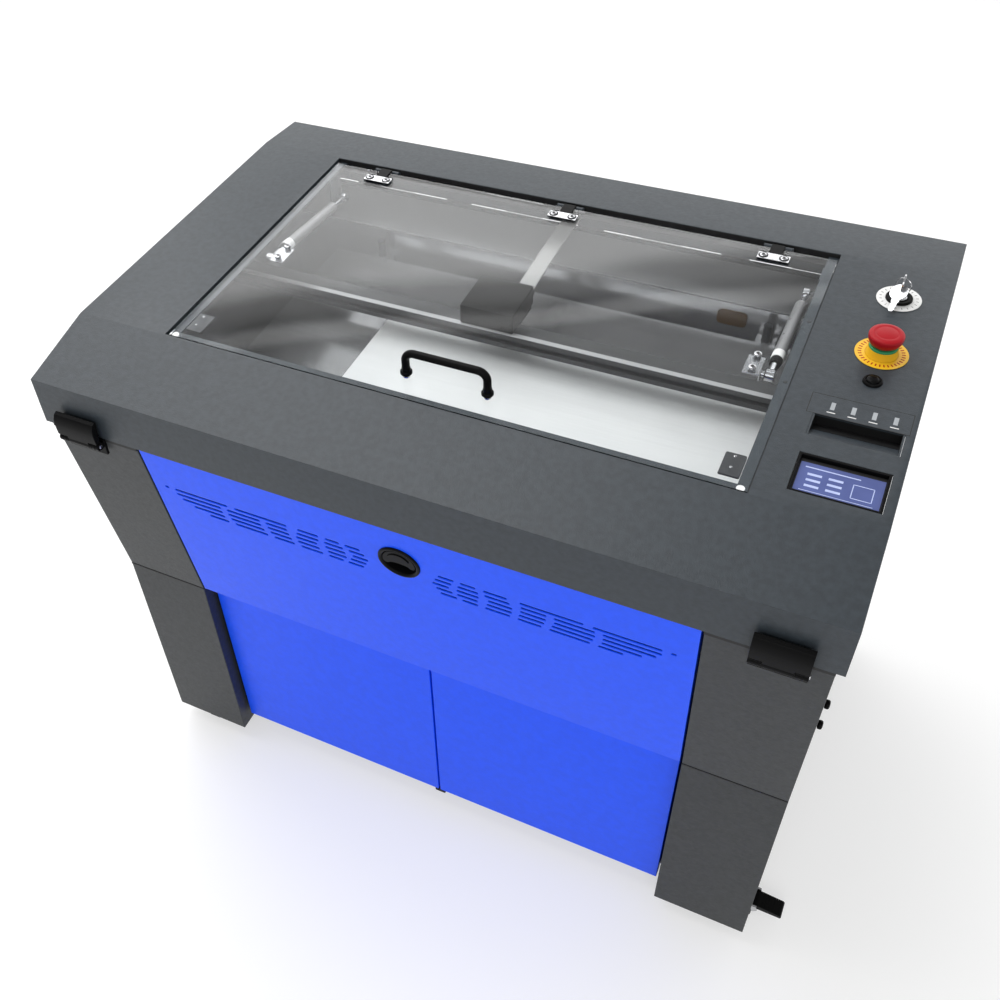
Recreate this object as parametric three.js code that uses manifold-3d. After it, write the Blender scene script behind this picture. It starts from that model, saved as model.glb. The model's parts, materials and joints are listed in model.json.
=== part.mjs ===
// Floor-standing laser cutting machine, millimetres, +Z up, front facing -Y.
// A charcoal hood with a clear lid sits on a cabinet with a sloping blue front
// panel, two blue doors and four casters. Every piece is a closed solid.
import * as THREE from 'three';
import { mergeVertices } from 'three/addons/utils/BufferGeometryUtils.js';
import Module from 'manifold-3d';

const wasm = await Module();
wasm.setup();

// ---------------------------------------------------------------- dimensions
const GAP = 0.4;                 // air between pieces that touch
const SHEET = 2.5;               // folded steel sheet

const HOOD_X = 510;              // half width of the hood
const HOOD_Y = 340;              // half depth of the hood
const TOP_Z = 840;               // flat top of the hood
const SEAM_Z = 744;              // lower edge of the hood
const FRONT_FOLD_Y = -225;       // where the flat top starts to slope forward
const FRONT_TOP_Z = 815;         // upper edge of the vertical front band
const REAR_FOLD_Y = 253;
const REAR_TOP_Z = 832;

const BODY_X = 501;              // half width of the cabinet
const LEAN_TOP_Y = -337;         // front face just under the hood
const LEAN_FOOT_Y = -293;        // front face at the middle seam
const MID_Z = 414;               // middle seam, where the lean ends
const BODY_BOTTOM_Z = 34;
const BODY_REAR_Y = 337;
const PILLAR_IN_X = 367;         // inner edge of the corner pillars

const WINDOW = { x0: -376, x1: 368, y0: -222, y1: 248 };
const LIP = 14;                  // ledge that carries the lid
const LIP_Z = 831.5;             // underside of that ledge
const GLASS_T = 5;
const GLASS_Z = 834.5;           // underside of the lid
const LID_AXIS = { y: 241, z: 836 };
const LID_HINGE_X = [-290, 0, 290];

const STRUT_X = 344.5;           // right strut plane, the left one mirrored
const STRUT_SHIFT = -4;          // the window is this far off the centre line
const STRUT_ROOT = { y: 205, z: 800 };
const STRUT_TIP = { y: -5, z: 822 };

const SCREEN = { x0: 402.5, x1: 498.5, y0: -200, y1: -138.5 };
const STATUS = { x0: 394, x1: 504, y0: -71, y1: -35.5 };
const POCKET = { x0: 402, x1: 500, y0: -108, y1: -71 };
const CONTROL_X = 451;           // centre line of the round controls
const BUTTON_Y = 6;
const ESTOP_Y = 61;
const KEY_Y = 176;

const LATCH_X = 447;
const LATCH_HALF = 31;
const LATCH_AXIS = { y: -349, z: 738 };

const DOOR_Y = -273;             // outer face of the lower doors
const DOOR_DEEP = 18;
const DOOR_TOP_Z = 410;
const DOOR_BOTTOM_Z = 56;
const DOOR_OUT_X = 362;

const TUB = { x: 470, y0: -283, y1: 240, floorZ: 550, topZ: 715, rearZ: 735 };
const TABLE = { x: 372, y0: -248, y1: 205, z0: 685, z1: 705 };
const GUIDE = { x: 300, y: 222, r: 6 };
const BEAM = { x: 489, y0: 38, y1: 68, z0: 728, z1: 751.6 };
const HEAD = { x: -44, half: 39, y0: 40.6, y1: 118, z0: 752, z1: 782 };

const HOOD_AXIS = { y: 346, z: 744 };
const HOOD_KNUCKLES = [-330, -110, 110, 330];

const WHEEL_R = 30;
const WHEEL_HALF = 12;
const TRAIL = 28;                // wheel axle behind the swivel axis
const CASTERS = [
  { name: 'front_left', x: -438, y: -230, turn: -90, brake: false },
  { name: 'front_right', x: 438, y: -230, turn: 0, brake: true },
  { name: 'rear_left', x: -438, y: 262, turn: 180, brake: true },
  { name: 'rear_right', x: 438, y: 262, turn: 35, brake: false },
];
const BRAKE_TIP = 109;           // pedal tip from the swivel axis
const BRAKE_PIVOT = { x: 67, z: 26 };

// ---------------------------------------------------------------- materials
const FINISH = {
  charcoal: { color: 0x4b5054, roughness: 0.55, metalness: 0.2 },
  blue: { color: 0x2f55ff, roughness: 0.45, metalness: 0.1 },
  black: { color: 0x131415, roughness: 0.5, metalness: 0 },
  darkSteel: { color: 0x2b2d30, roughness: 0.5, metalness: 0.6 },
  steel: { color: 0xb9bcc0, roughness: 0.3, metalness: 0.9 },
  aluminium: { color: 0xc9ccce, roughness: 0.35, metalness: 0.8 },
  acrylic: { color: 0xcfd6da, roughness: 0.05, metalness: 0, transparent: true, opacity: 0.35 },
  yellow: { color: 0xf2b705, roughness: 0.5, metalness: 0 },
  red: { color: 0xc8161d, roughness: 0.35, metalness: 0 },
  white: { color: 0xe6e7e8, roughness: 0.5, metalness: 0 },
  screen: { color: 0x5a68c8, roughness: 0.15, metalness: 0 },
  rubber: { color: 0x2a2b2c, roughness: 0.8, metalness: 0 },
};

// ---------------------------------------------------------------- shape tools
function solid(geometry) {
  const clean = geometry.clone();
  clean.deleteAttribute('normal');
  clean.deleteAttribute('uv');
  const merged = mergeVertices(clean, 1e-4);
  const mesh = new wasm.Mesh({
    numProp: 3,
    vertProperties: Float32Array.from(merged.attributes.position.array),
    triVerts: Uint32Array.from(merged.index.array),
  });
  return new wasm.Manifold(mesh);
}

function join(first, ...others) {
  return others.reduce((sum, other) => sum.add(other), first);
}

function cut(body, ...tools) {
  return tools.reduce((rest, tool) => rest.subtract(tool), body);
}

function box(x0, x1, y0, y1, z0, z1) {
  const shape = new THREE.BoxGeometry(x1 - x0, y1 - y0, z1 - z0);
  shape.translate((x0 + x1) / 2, (y0 + y1) / 2, (z0 + z1) / 2);
  return solid(shape);
}

// A flat outline swept along one axis. The outline is [y, z] for sweepX and
// [x, z] for sweepY.
function sweep(outline, length, basis) {
  const shape = new THREE.Shape(outline.map(([a, b]) => new THREE.Vector2(a, b)));
  const geometry = new THREE.ExtrudeGeometry(shape, { depth: length, bevelEnabled: false });
  geometry.applyMatrix4(basis);
  return solid(geometry);
}

const AXIS_X = new THREE.Vector3(1, 0, 0);
const AXIS_Y = new THREE.Vector3(0, 1, 0);
const AXIS_Z = new THREE.Vector3(0, 0, 1);

function sweepX(outline, x0, x1) {
  const basis = new THREE.Matrix4().makeBasis(AXIS_Y, AXIS_Z, AXIS_X);
  return sweep(outline, x1 - x0, basis.setPosition(x0, 0, 0));
}

function sweepY(outline, y0, y1) {
  const basis = new THREE.Matrix4().makeBasis(AXIS_X, AXIS_Z, AXIS_Y.clone().negate());
  return sweep(outline, y1 - y0, basis.setPosition(0, y1, 0));
}

// A round bar along an axis, from a to b, centred on (u, v): the other two
// coordinates in x, y, z order.
function bar(axis, radius, a, b, u, v, sides = 16) {
  const shape = new THREE.CylinderGeometry(radius, radius, b - a, sides);
  const middle = (a + b) / 2;
  if (axis === 'x') shape.rotateZ(-Math.PI / 2).translate(middle, u, v);
  if (axis === 'y') shape.translate(u, middle, v);
  if (axis === 'z') shape.rotateX(Math.PI / 2).translate(u, v, middle);
  return solid(shape);
}

// A turned part: a closed [radius, height] outline spun about Z. The outline
// has to run anticlockwise for its faces to look outward.
function turned(outline, sides = 24) {
  const points = outline.map(([r, h]) => new THREE.Vector2(r, h));
  if (THREE.ShapeUtils.isClockWise(points)) points.reverse();
  points.push(points[0].clone());
  return solid(new THREE.LatheGeometry(points, sides).rotateX(Math.PI / 2));
}

// Merging the flat faces that booleans leave in strips keeps the mesh light.
function toGeometry(body) {
  const mesh = body.asOriginal().simplify(0.002).getMesh();
  const geometry = new THREE.BufferGeometry();
  const position = new THREE.BufferAttribute(Float32Array.from(mesh.vertProperties), 3);
  geometry.setAttribute('position', position);
  geometry.setIndex(new THREE.BufferAttribute(Uint32Array.from(mesh.triVerts), 1));
  const flat = geometry.toNonIndexed();
  flat.computeVertexNormals();
  return flat;
}

function piece(name, body, finish) {
  const material = new THREE.MeshStandardMaterial(FINISH[finish]);
  const mesh = new THREE.Mesh(toGeometry(body), material);
  mesh.name = name;
  return mesh;
}

function assembly(name, ...members) {
  const group = new THREE.Group();
  group.name = name;
  group.add(...members);
  return group;
}

const sideName = (side) => (side < 0 ? 'left' : 'right');
// Front face of the leaning part of the cabinet at a height.
const leanY = (z) => LEAN_TOP_Y + (LEAN_FOOT_Y - LEAN_TOP_Y) * (SEAM_Z - z) / (SEAM_Z - MID_Z);

// Mirror an x interval to the left when side is -1.
function boxSide(side, x0, x1, ...rest) {
  return side < 0 ? box(-x1, -x0, ...rest) : box(x0, x1, ...rest);
}

function sweepSide(side, outline, x0, x1) {
  return side < 0 ? sweepX(outline, -x1, -x0) : sweepX(outline, x0, x1);
}

// ---------------------------------------------------------------- cabinet
function basePan() {
  const body = cut(
    box(-494, 494, -252, 332, 62, 75),
    box(-491.5, 491.5, -249.5, 329.5, 50, 72.5),
  );
  return piece('base_pan', body, 'darkSteel');
}

function sidePanel(side) {
  const outline = [
    [LEAN_TOP_Y + SHEET + GAP, SEAM_Z - 0.5],
    [LEAN_FOOT_Y + SHEET + GAP, MID_Z],
    [LEAN_FOOT_Y + SHEET + GAP, BODY_BOTTOM_Z],
    [BODY_REAR_Y, BODY_BOTTOM_Z],
    [BODY_REAR_Y, SEAM_Z - 0.5],
  ];
  const plate = sweepSide(side, outline, BODY_X - SHEET, BODY_X);
  const slots = [];
  for (let row = 0; row < 6; row += 1) {
    const z = 150 + row * 22;
    slots.push(boxSide(side, BODY_X - 9, BODY_X + 9, 90, 250, z, z + 8));
  }
  return piece(`side_panel_${sideName(side)}`, cut(plate, ...slots), 'charcoal');
}

const EXHAUST = { x: -250, z: 640, r: 50, reach: 362 };
const INLET = { x: 420, z: 130, halfX: 14, halfZ: 24 };

// The rear panel carries the welded spigot that the exhaust hose slips over.
function rearPanel() {
  const { x, z, r, reach } = EXHAUST;
  const plate = box(-BODY_X + 2.9, BODY_X - 2.9, BODY_REAR_Y - SHEET, BODY_REAR_Y, BODY_BOTTOM_Z, 743.5);
  const spigot = bar('y', r, BODY_REAR_Y - 1, reach, x, z, 32);
  const bore = bar('y', r - 2, BODY_REAR_Y - 9, reach + 9, x, z, 32);
  const inlet = box(INLET.x - INLET.halfX, INLET.x + INLET.halfX, 300, 350,
    INLET.z - INLET.halfZ, INLET.z + INLET.halfZ);
  const vents = [];
  for (let row = 0; row < 5; row += 1) {
    vents.push(box(150, 330, 300, 350, 560 + row * 20, 568 + row * 20));
  }
  return piece('rear_panel', cut(join(plate, spigot), bore, inlet, ...vents), 'charcoal');
}

function mainsInlet() {
  const { x, z, halfX, halfZ } = INLET;
  const flange = box(x - halfX - 6, x + halfX + 6, BODY_REAR_Y + GAP, BODY_REAR_Y + 3,
    z - halfZ - 4, z + halfZ + 4);
  const body = box(x - halfX + GAP, x + halfX - GAP, 306, BODY_REAR_Y + 1,
    z - halfZ + GAP, z + halfZ - GAP);
  const socket = box(x - 9, x + 9, 318, 350, z - 16, z + 16);
  return piece('mains_inlet', cut(join(flange, body), socket), 'black');
}

// Corner covers: a face sheet with a return along the inner edge.
function upperPillar(side) {
  const top = SEAM_Z - 0.5;
  const foot = MID_Z + 0.3;
  const face = [
    [leanY(top), top], [leanY(foot), foot],
    [leanY(foot) + SHEET, foot], [leanY(top) + SHEET, top],
  ];
  const fold = [
    [leanY(top), top], [leanY(foot), foot],
    [leanY(foot) + 26, foot], [leanY(top) + 26, top],
  ];
  const body = join(
    sweepSide(side, face, PILLAR_IN_X, BODY_X),
    sweepSide(side, fold, PILLAR_IN_X, PILLAR_IN_X + SHEET),
  );
  return piece(`upper_pillar_${sideName(side)}`, body, 'charcoal');
}

function lowerPillar(side) {
  const y = LEAN_FOOT_Y;
  const body = join(
    boxSide(side, PILLAR_IN_X, BODY_X, y, y + SHEET, BODY_BOTTOM_Z, MID_Z - 0.3),
    boxSide(side, PILLAR_IN_X, PILLAR_IN_X + SHEET, y, y + 40, BODY_BOTTOM_Z, MID_Z - 0.3),
  );
  return piece(`lower_pillar_${sideName(side)}`, body, 'charcoal');
}

// The laser bay: floor, two sides and a back, open to the front panel.
function chamberTub() {
  const { x, y0, y1, floorZ, topZ, rearZ } = TUB;
  const body = join(
    box(-x, x, y0, y1, floorZ, floorZ + SHEET),
    box(-x, -x + SHEET, y0, y1, floorZ, topZ),
    box(x - SHEET, x, y0, y1, floorZ, topZ),
    box(-x, x, y1 - SHEET, y1, floorZ, rearZ),
    box(-x - 24, -x + SHEET, y0, y1, topZ - SHEET, topZ),
    box(x - SHEET, x + 24, y0, y1, topZ - SHEET, topZ),
  );
  return piece('chamber_tub', body, 'darkSteel');
}

// Two guide rods on a foot bar; the table's rear lugs slide on them.
function tableGuide() {
  const { x, y, r } = GUIDE;
  const foot = box(-x - 12, x + 12, y - 8, y + 8, 553, 562);
  const rods = [-x, x].map((at) => bar('z', r, 561, 724, at, y));
  return piece('table_guide', join(foot, ...rods), 'steel');
}

function yRail(side) {
  const x = TUB.x + 10;
  const z = TUB.topZ + 0.4;
  const rail = boxSide(side, x - 8, x + 8, TUB.y0 + 12, TUB.y1 - 6, z, z + 11.6);
  const grooves = [
    boxSide(side, x - 9, x - 5, TUB.y0, TUB.y1, z + 3.6, z + 7.6),
    boxSide(side, x + 5, x + 9, TUB.y0, TUB.y1, z + 3.6, z + 7.6),
  ];
  return piece(`y_rail_${sideName(side)}`, cut(rail, ...grooves), 'steel');
}

function laserSource() {
  const body = box(-330, 330, 250, 326, 610, 680);
  const fins = [];
  for (let x = -320; x <= 310; x += 30) {
    fins.push(box(x, x + 10, 250, 326, 679, 712));
  }
  return piece('laser_source', join(body, ...fins), 'aluminium');
}

function electronicsBox() {
  const body = box(40, 440, 130, 298, 78, 360);
  const fan = bar('y', 45, 100, 140, 340, 250, 24);
  return piece('electronics_box', cut(body, fan), 'steel');
}

// ---------------------------------------------------------------- hood latches
function latchBase(side) {
  const { y, z } = LATCH_AXIS;
  const x = LATCH_X * side;
  const plate = box(x - LATCH_HALF, x + LATCH_HALF, -341.5, -337.4, 717, 742.5);
  const ends = [-1, 1].map((end) => {
    const a = x + end * 24 - 7;
    return join(
      bar('x', 6, a, a + 14, y, z),
      box(a, a + 14, y, -340, z - 6, z),
    );
  });
  const pin = bar('x', 2, x - 24, x + 24, y, z, 12);
  return piece(`latch_base_${sideName(side)}`, join(plate, ...ends, pin), 'black');
}

// The lever is a curved cover that turns down about the barrel.
function latchLever(side) {
  const { y, z } = LATCH_AXIS;
  const x = LATCH_X * side;
  const outer = [[y - 5, z], [y - 6, z + 12], [y - 6.5, z + 22], [y - 5.5, z + 31],
    [y - 2, z + 37], [y + 3, z + 39], [y + 5, z + 37], [y + 1, z + 7], [y, z]];
  const inner = [[y - 2, z + 10], [y - 3.3, z + 15], [y - 3.6, z + 22], [y - 2.8, z + 29],
    [y + 0.5, z + 34], [y + 9, z + 34], [y + 9, z + 10]];
  const shell = cut(
    sweepX(outer, x - LATCH_HALF, x + LATCH_HALF),
    sweepX(inner, x - LATCH_HALF + 3, x + LATCH_HALF - 3),
    box(x - 32, x - 16.5, y - 15, y + 15, z - 9, z + 6.6),
    box(x + 16.5, x + 32, y - 15, y + 15, z - 9, z + 6.6),
  );
  const knuckle = bar('x', 6, x - 16.5, x + 16.5, y, z);
  const bore = bar('x', 2.4, x - 32, x + 32, y, z, 12);
  return piece(`latch_lever_${sideName(side)}`, cut(join(shell, knuckle), bore), 'black');
}

function latchKeeper(side) {
  const x = LATCH_X * side;
  const front = -HOOD_Y - GAP;
  const body = join(
    box(x - 25, x + 25, front - 2.2, front, 748, 771),
    box(x - 20, x + 20, front - 4.5, front - 2, 758, 764),
  );
  return piece(`latch_keeper_${sideName(side)}`, body, 'black');
}

// ---------------------------------------------------------------- hood
function hoodOutline(inset) {
  const drop = inset * 0.2;
  return [
    [-HOOD_Y + inset, SEAM_Z + GAP - (inset ? 5 : 0)],
    [-HOOD_Y + inset, FRONT_TOP_Z - inset + drop],
    [FRONT_FOLD_Y, TOP_Z - inset],
    [REAR_FOLD_Y, TOP_Z - inset],
    [HOOD_Y - inset, REAR_TOP_Z - inset],
    [HOOD_Y - inset, SEAM_Z + GAP - (inset ? 5 : 0)],
  ];
}

function hoodHoles() {
  const { x0, x1, y0, y1 } = SCREEN;
  return [
    box(x0 - 0.3, x1 + 0.3, y0 - 0.3, y1 + 0.3, 820, 850),
    box(STATUS.x0 - 0.3, STATUS.x1 + 0.3, STATUS.y0 - 0.3, STATUS.y1 + 0.3, 820, 850),
    box(POCKET.x0 - 0.3, POCKET.x1 + 0.3, POCKET.y0 - 0.3, POCKET.y1, 820, 850),
    bar('z', 8, 820, 850, CONTROL_X, BUTTON_Y),
    bar('z', 11, 820, 850, CONTROL_X, ESTOP_Y),
    bar('z', 11, 820, 850, CONTROL_X, KEY_Y),
  ];
}

// The folded wall and ledge round the window; the rear side has the wall only.
function windowFrame() {
  const { x0, x1, y0, y1 } = WINDOW;
  const wall = cut(
    box(x0 - SHEET, x1 + SHEET, y0 - SHEET, y1 + SHEET, LIP_Z, TOP_Z - 1),
    box(x0, x1, y0, y1, 800, 860),
  );
  const ledge = cut(
    box(x0 - 1, x1 + 1, y0 - 1, y1 + 1, LIP_Z, LIP_Z + SHEET),
    box(x0 + LIP, x1 - LIP, y0 + LIP, y1 + 9, 800, 860),
  );
  return join(wall, ledge);
}

// Hinge eyes with their pin, one set for each lid hinge.
function lidHingeEyes() {
  const { y, z } = LID_AXIS;
  return LID_HINGE_X.map((x) => join(
    bar('x', 3.5, x - 19, x - 9, y, z, 12),
    box(x - 19, x - 9, y, WINDOW.y1 + 1, z - 3.5, z),
    bar('x', 3.5, x + 9, x + 19, y, z, 12),
    box(x + 9, x + 19, y, WINDOW.y1 + 1, z - 3.5, z),
    bar('x', 1.5, x - 10, x + 10, y, z, 12),
  ));
}

// Tab under the ledge with the stud that each strut's rod turns on.
function strutStud(side) {
  const { y, z } = STRUT_ROOT;
  const x = STRUT_X * side + STRUT_SHIFT;
  const near = x + 12 * side;
  const far = x + 15 * side;
  return join(
    box(Math.min(near, far), Math.max(near, far), y - 14, y + 14, z - 9, LIP_Z + 1),
    bar('x', 3, Math.min(x - 5 * side, near), Math.max(x - 5 * side, near + side), y, z, 12),
  );
}

function hoodKnuckles() {
  const { y, z } = HOOD_AXIS;
  return HOOD_KNUCKLES.map((x) => join(
    bar('x', 5, x - 30, x + 30, y, z, 12),
    box(x - 30, x + 30, HOOD_Y - 1, y, z + GAP, z + 5),
  ));
}

function hoodShell() {
  const outer = sweepX(hoodOutline(0), -HOOD_X, HOOD_X);
  const inner = sweepX(hoodOutline(SHEET), -HOOD_X + SHEET, HOOD_X - SHEET);
  const { x0, x1, y0, y1 } = WINDOW;
  const opening = box(x0, x1, y0, y1, 800, 860);
  const skin = cut(outer, inner, opening, ...hoodHoles());
  const pinBore = bar('x', 2.5, -HOOD_X, HOOD_X, HOOD_AXIS.y, HOOD_AXIS.z, 12);
  const body = join(
    skin, windowFrame(), ...lidHingeEyes(), strutStud(-1), strutStud(1),
    ...hoodKnuckles().map((knuckle) => cut(knuckle, pinBore)),
  );
  return piece('hood_shell', body, 'charcoal');
}

// Long rear hinge: fixed leaf on the cabinet, knuckles and one pin.
function hoodHinge() {
  const { y, z } = HOOD_AXIS;
  const leaf = box(-400, 400, BODY_REAR_Y + GAP, BODY_REAR_Y + 2.4, 706, z - 4);
  const knuckles = [-380, -220, 0, 220, 380].map((x) => join(
    bar('x', 5, x - 20, x + 20, y, z, 12),
    box(x - 20, x + 20, BODY_REAR_Y + 1, y, z - 5, z),
  ));
  const pin = bar('x', 2, -400, 400, y, z, 12);
  return piece('hood_hinge', join(leaf, ...knuckles, pin), 'darkSteel');
}

// ---------------------------------------------------------------- controls
function screenBezel() {
  const { x0, x1, y0, y1 } = SCREEN;
  const body = cut(
    box(x0, x1, y0, y1, 828, TOP_Z),
    box(x0 + 3, x1 - 3, y0 + 3, y1 - 3, 834, 850),
    box(x0 + 8, x1 - 8, y0 + 5, y1 - 7, 820, 850),
  );
  return piece('screen_bezel', body, 'black');
}

function screenPanel() {
  const { x0, x1, y0, y1 } = SCREEN;
  const body = box(x0 + 8.3, x1 - 8.3, y0 + 5.3, y1 - 7.3, 827, 833.5);
  return piece('screen_panel', body, 'screen');
}

// One moulding: the flush label plate and the finger pocket in front of it.
function statusPanel() {
  const plate = box(STATUS.x0, STATUS.x1, STATUS.y0, STATUS.y1, 837, TOP_Z);
  const { x0, x1, y0, y1 } = POCKET;
  const under = [[y0, TOP_Z - 0.3], [y0, 836], [y1 + 4, 818], [y1 + 8, 818], [y1 + 8, 838]];
  const floor = [...under, [y1 + 4, 838], [y1 + 4, 821]];
  const cheek = [...under, [y1 - 0.1, 838], [y1 - 0.1, TOP_Z - 0.3]];
  const body = join(
    plate, sweepX(floor, x0, x1),
    sweepX(cheek, x0, x0 + 2), sweepX(cheek, x1 - 2, x1),
  );
  return piece('status_panel', body, 'charcoal');
}

function keySwitch() {
  const base = TOP_Z + 0.3;
  const body = join(
    turned([[0, base], [26.5, base], [26.5, base + 0.8], [0, base + 0.8]], 32),
    turned([[0, base], [15, base], [15, base + 3], [13, base + 4], [0, base + 4]], 24),
    turned([[0, 822], [10.5, 822], [10.5, base + 0.4], [0, base + 0.4]], 16),
  );
  const plug = bar('z', 5, base + 0.8, base + 9, 0, 0, 16);
  const mesh = piece('key_switch', cut(body, plug), 'black');
  mesh.position.set(CONTROL_X, KEY_Y, 0);
  return mesh;
}

// Blade plug in the lock with a flat bow standing up.
function key() {
  const base = TOP_Z + 1.5;
  const body = cut(
    join(
      bar('z', 4.6, base, base + 5, 0, 0, 16),
      box(-4, 4, -1.1, 1.1, base + 4, base + 14),
      bar('y', 11, -1.1, 1.1, 0, base + 22, 16),
    ),
    bar('y', 2.5, -5, 5, 0, base + 27, 12),
  );
  const mesh = piece('key', body, 'steel');
  mesh.position.set(CONTROL_X, KEY_Y, 0);
  mesh.rotation.z = Math.PI / 2;
  return mesh;
}

function estopBase() {
  const base = TOP_Z + 0.3;
  const body = turned([
    [0, 822], [10.5, 822], [10.5, base], [30.2, base], [30.2, base + 0.8], [18, base + 0.8],
    [16.5, base + 11], [13.3, base + 11], [13.3, base + 3], [0, base + 3],
  ], 32);
  const mesh = piece('estop_base', body, 'yellow');
  mesh.position.set(CONTROL_X, ESTOP_Y, 0);
  return mesh;
}

function estopButton() {
  const base = TOP_Z + 7.5;
  const body = turned([
    [0, base], [12.6, base], [12.6, base + 9], [19, base + 9], [20, base + 11],
    [20, base + 18], [17, base + 22], [10, base + 24], [0, base + 24],
  ], 24);
  const mesh = piece('estop_button', body, 'red');
  mesh.position.set(CONTROL_X, ESTOP_Y, 0);
  return mesh;
}

function startButton() {
  const body = turned([[0, 826], [5, 826], [5, 834], [7.4, 834], [7.4, 843], [5, 845], [0, 845.6]], 20);
  const mesh = piece('start_button', body, 'black');
  mesh.position.set(CONTROL_X, BUTTON_Y, 0);
  return mesh;
}

// ---------------------------------------------------------------- clear lid
function acrylicLid() {
  const { x0, x1, y0, y1 } = WINDOW;
  const body = box(x0 + 5, x1 - 1.5, y0 + 2, y1 - 14, GLASS_Z, GLASS_Z + GLASS_T);
  return piece('acrylic_lid', body, 'acrylic');
}

// U handle: a bent round bar on two round feet.
const HANDLE = { half: 53, y: -177, r: 5, rise: 32, bend: 12 };

function lidHandle() {
  const { half, y, r, rise, bend } = HANDLE;
  const foot = GLASS_Z + GLASS_T + 0.3;
  const top = foot + rise;
  const path = new THREE.CurvePath();
  const at = (x, z) => new THREE.Vector3(x, y, z);
  path.add(new THREE.LineCurve3(at(-half, foot + 1), at(-half, top - bend)));
  path.add(new THREE.QuadraticBezierCurve3(at(-half, top - bend), at(-half, top), at(-half + bend, top)));
  path.add(new THREE.LineCurve3(at(-half + bend, top), at(half - bend, top)));
  path.add(new THREE.QuadraticBezierCurve3(at(half - bend, top), at(half, top), at(half, top - bend)));
  path.add(new THREE.LineCurve3(at(half, top - bend), at(half, foot + 1)));
  const section = new THREE.Shape().absarc(0, 0, r, 0, Math.PI * 2);
  const tube = new THREE.ExtrudeGeometry(section, { steps: 22, curveSegments: 4, extrudePath: path });
  const feet = [-half, half].map((x) => bar('z', 7.5, foot, foot + 4, x, y, 16));
  return piece('lid_handle', join(solid(tube), ...feet), 'black');
}

function lidHinge(index) {
  const x = LID_HINGE_X[index];
  const { y, z } = LID_AXIS;
  const top = GLASS_Z + GLASS_T + 0.3;
  const body = cut(
    join(
      box(x - 20, x + 20, 203, 221, top, top + 1.6),
      box(x - 8.6, x + 8.6, 220, y, top, top + 1.6),
      box(x - 8.6, x + 8.6, y - 5, y, z, top + 1.6),
      bar('x', 3.5, x - 8.6, x + 8.6, y, z, 12),
    ),
    bar('x', 1.9, x - 9, x + 9, y, z, 12),
  );
  return piece(`lid_hinge_${index + 1}`, body, 'steel');
}

function strutBracket(side) {
  const x = STRUT_X * side + STRUT_SHIFT;
  const { y, z } = STRUT_TIP;
  const inner = x - 30 * side;
  const tab = x - 10 * side;
  const stud = x - 6.5 * side;
  const top = GLASS_Z - 0.3;
  const body = join(
    box(Math.min(inner, tab), Math.max(inner, tab), y - 19, y + 15, top - 2, top),
    box(Math.min(tab, tab - 2 * side), Math.max(tab, tab - 2 * side), y - 8, y + 8, z - 6, top),
    bar('x', 4, Math.min(tab - side, stud), Math.max(tab - side, stud), y, z, 12),
  );
  return piece(`strut_bracket_${sideName(side)}`, body, 'steel');
}

// A strut lies along Y from its root; it is modelled level and then tilted.
const STRUT_TILT = -Math.atan2(STRUT_TIP.z - STRUT_ROOT.z, STRUT_ROOT.y - STRUT_TIP.y);
const STRUT_LONG = Math.hypot(STRUT_TIP.z - STRUT_ROOT.z, STRUT_ROOT.y - STRUT_TIP.y);

function placeStrut(mesh, side) {
  mesh.position.set(STRUT_X * side + STRUT_SHIFT, STRUT_ROOT.y, STRUT_ROOT.z);
  mesh.rotation.x = STRUT_TILT;
  return mesh;
}

function strutRod(side) {
  const body = cut(
    join(bar('x', 7, -4, 4, 0, 0, 16), bar('y', 3, -170, -5, 0, 0, 12)),
    bar('x', 3.5, -9, 9, 0, 0, 12),
  );
  return placeStrut(piece(`strut_rod_${sideName(side)}`, body, 'steel'), side);
}

function strutCylinder(side) {
  const body = cut(
    join(
      bar('y', 7.5, -188, -34, 0, 0, 16),
      bar('y', 5, -204, -187, 0, 0, 12),
      bar('x', 7.5, -5.5, 5.5, -STRUT_LONG, 0, 16),
    ),
    bar('y', 3.5, -184, -9, 0, 0, 12),
  );
  return placeStrut(piece(`strut_cylinder_${sideName(side)}`, body, 'darkSteel'), side);
}

// ---------------------------------------------------------------- front panel
const LEAN = Math.atan2(LEAN_FOOT_Y - LEAN_TOP_Y, SEAM_Z - MID_Z);
const PANEL = { half: 364, long: 329, foot: 416.5, fold: 16, latchAt: 263, latchR: 25 };

// Vent slots: five rows, broken into blocks by gaps that lean with the row.
// Each entry is the middle of a gap and how far it moves per row from the
// middle row, either like an arrow head or straight across.
const SLOT_ROWS = 5;
const SLOT_PITCH = 9.2;
const SLOT_H = 4;
const SLOT_TOP = 259;            // first row, along the panel from its foot
const SLOT_GAPS = [
  { at: 73, arrow: 2.5 },
  { at: 110, arrow: -1.5 },
  { at: 152, arrow: -1.2 },
  { at: 193, arrow: 0 },
  { at: 252, arrow: 0 },
];
const SLOT_INNER = { at: 44, arrow: 4.5 };
const SLOT_OUTER = [328, 328, 322, 306, 284];

function slotEdges(row) {
  const off = Math.abs(row - (SLOT_ROWS - 1) / 2);
  const inner = SLOT_INNER.at + SLOT_INNER.arrow * off;
  const edges = [inner];
  SLOT_GAPS.forEach(({ at, arrow }) => {
    const middle = at + arrow * off;
    edges.push(middle - 4.5, middle + 4.5);
  });
  edges.push(SLOT_OUTER[row]);
  return edges;
}

function ventSlots() {
  const slots = [];
  for (let row = 0; row < SLOT_ROWS; row += 1) {
    const z = SLOT_TOP - row * SLOT_PITCH;
    const edges = slotEdges(row);
    for (let i = 0; i < edges.length; i += 2) {
      slots.push(box(edges[i], edges[i + 1], -5, 5, z - SLOT_H / 2, z + SLOT_H / 2));
      slots.push(box(-edges[i + 1], -edges[i], -5, 5, z - SLOT_H / 2, z + SLOT_H / 2));
    }
  }
  return slots;
}

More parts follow.
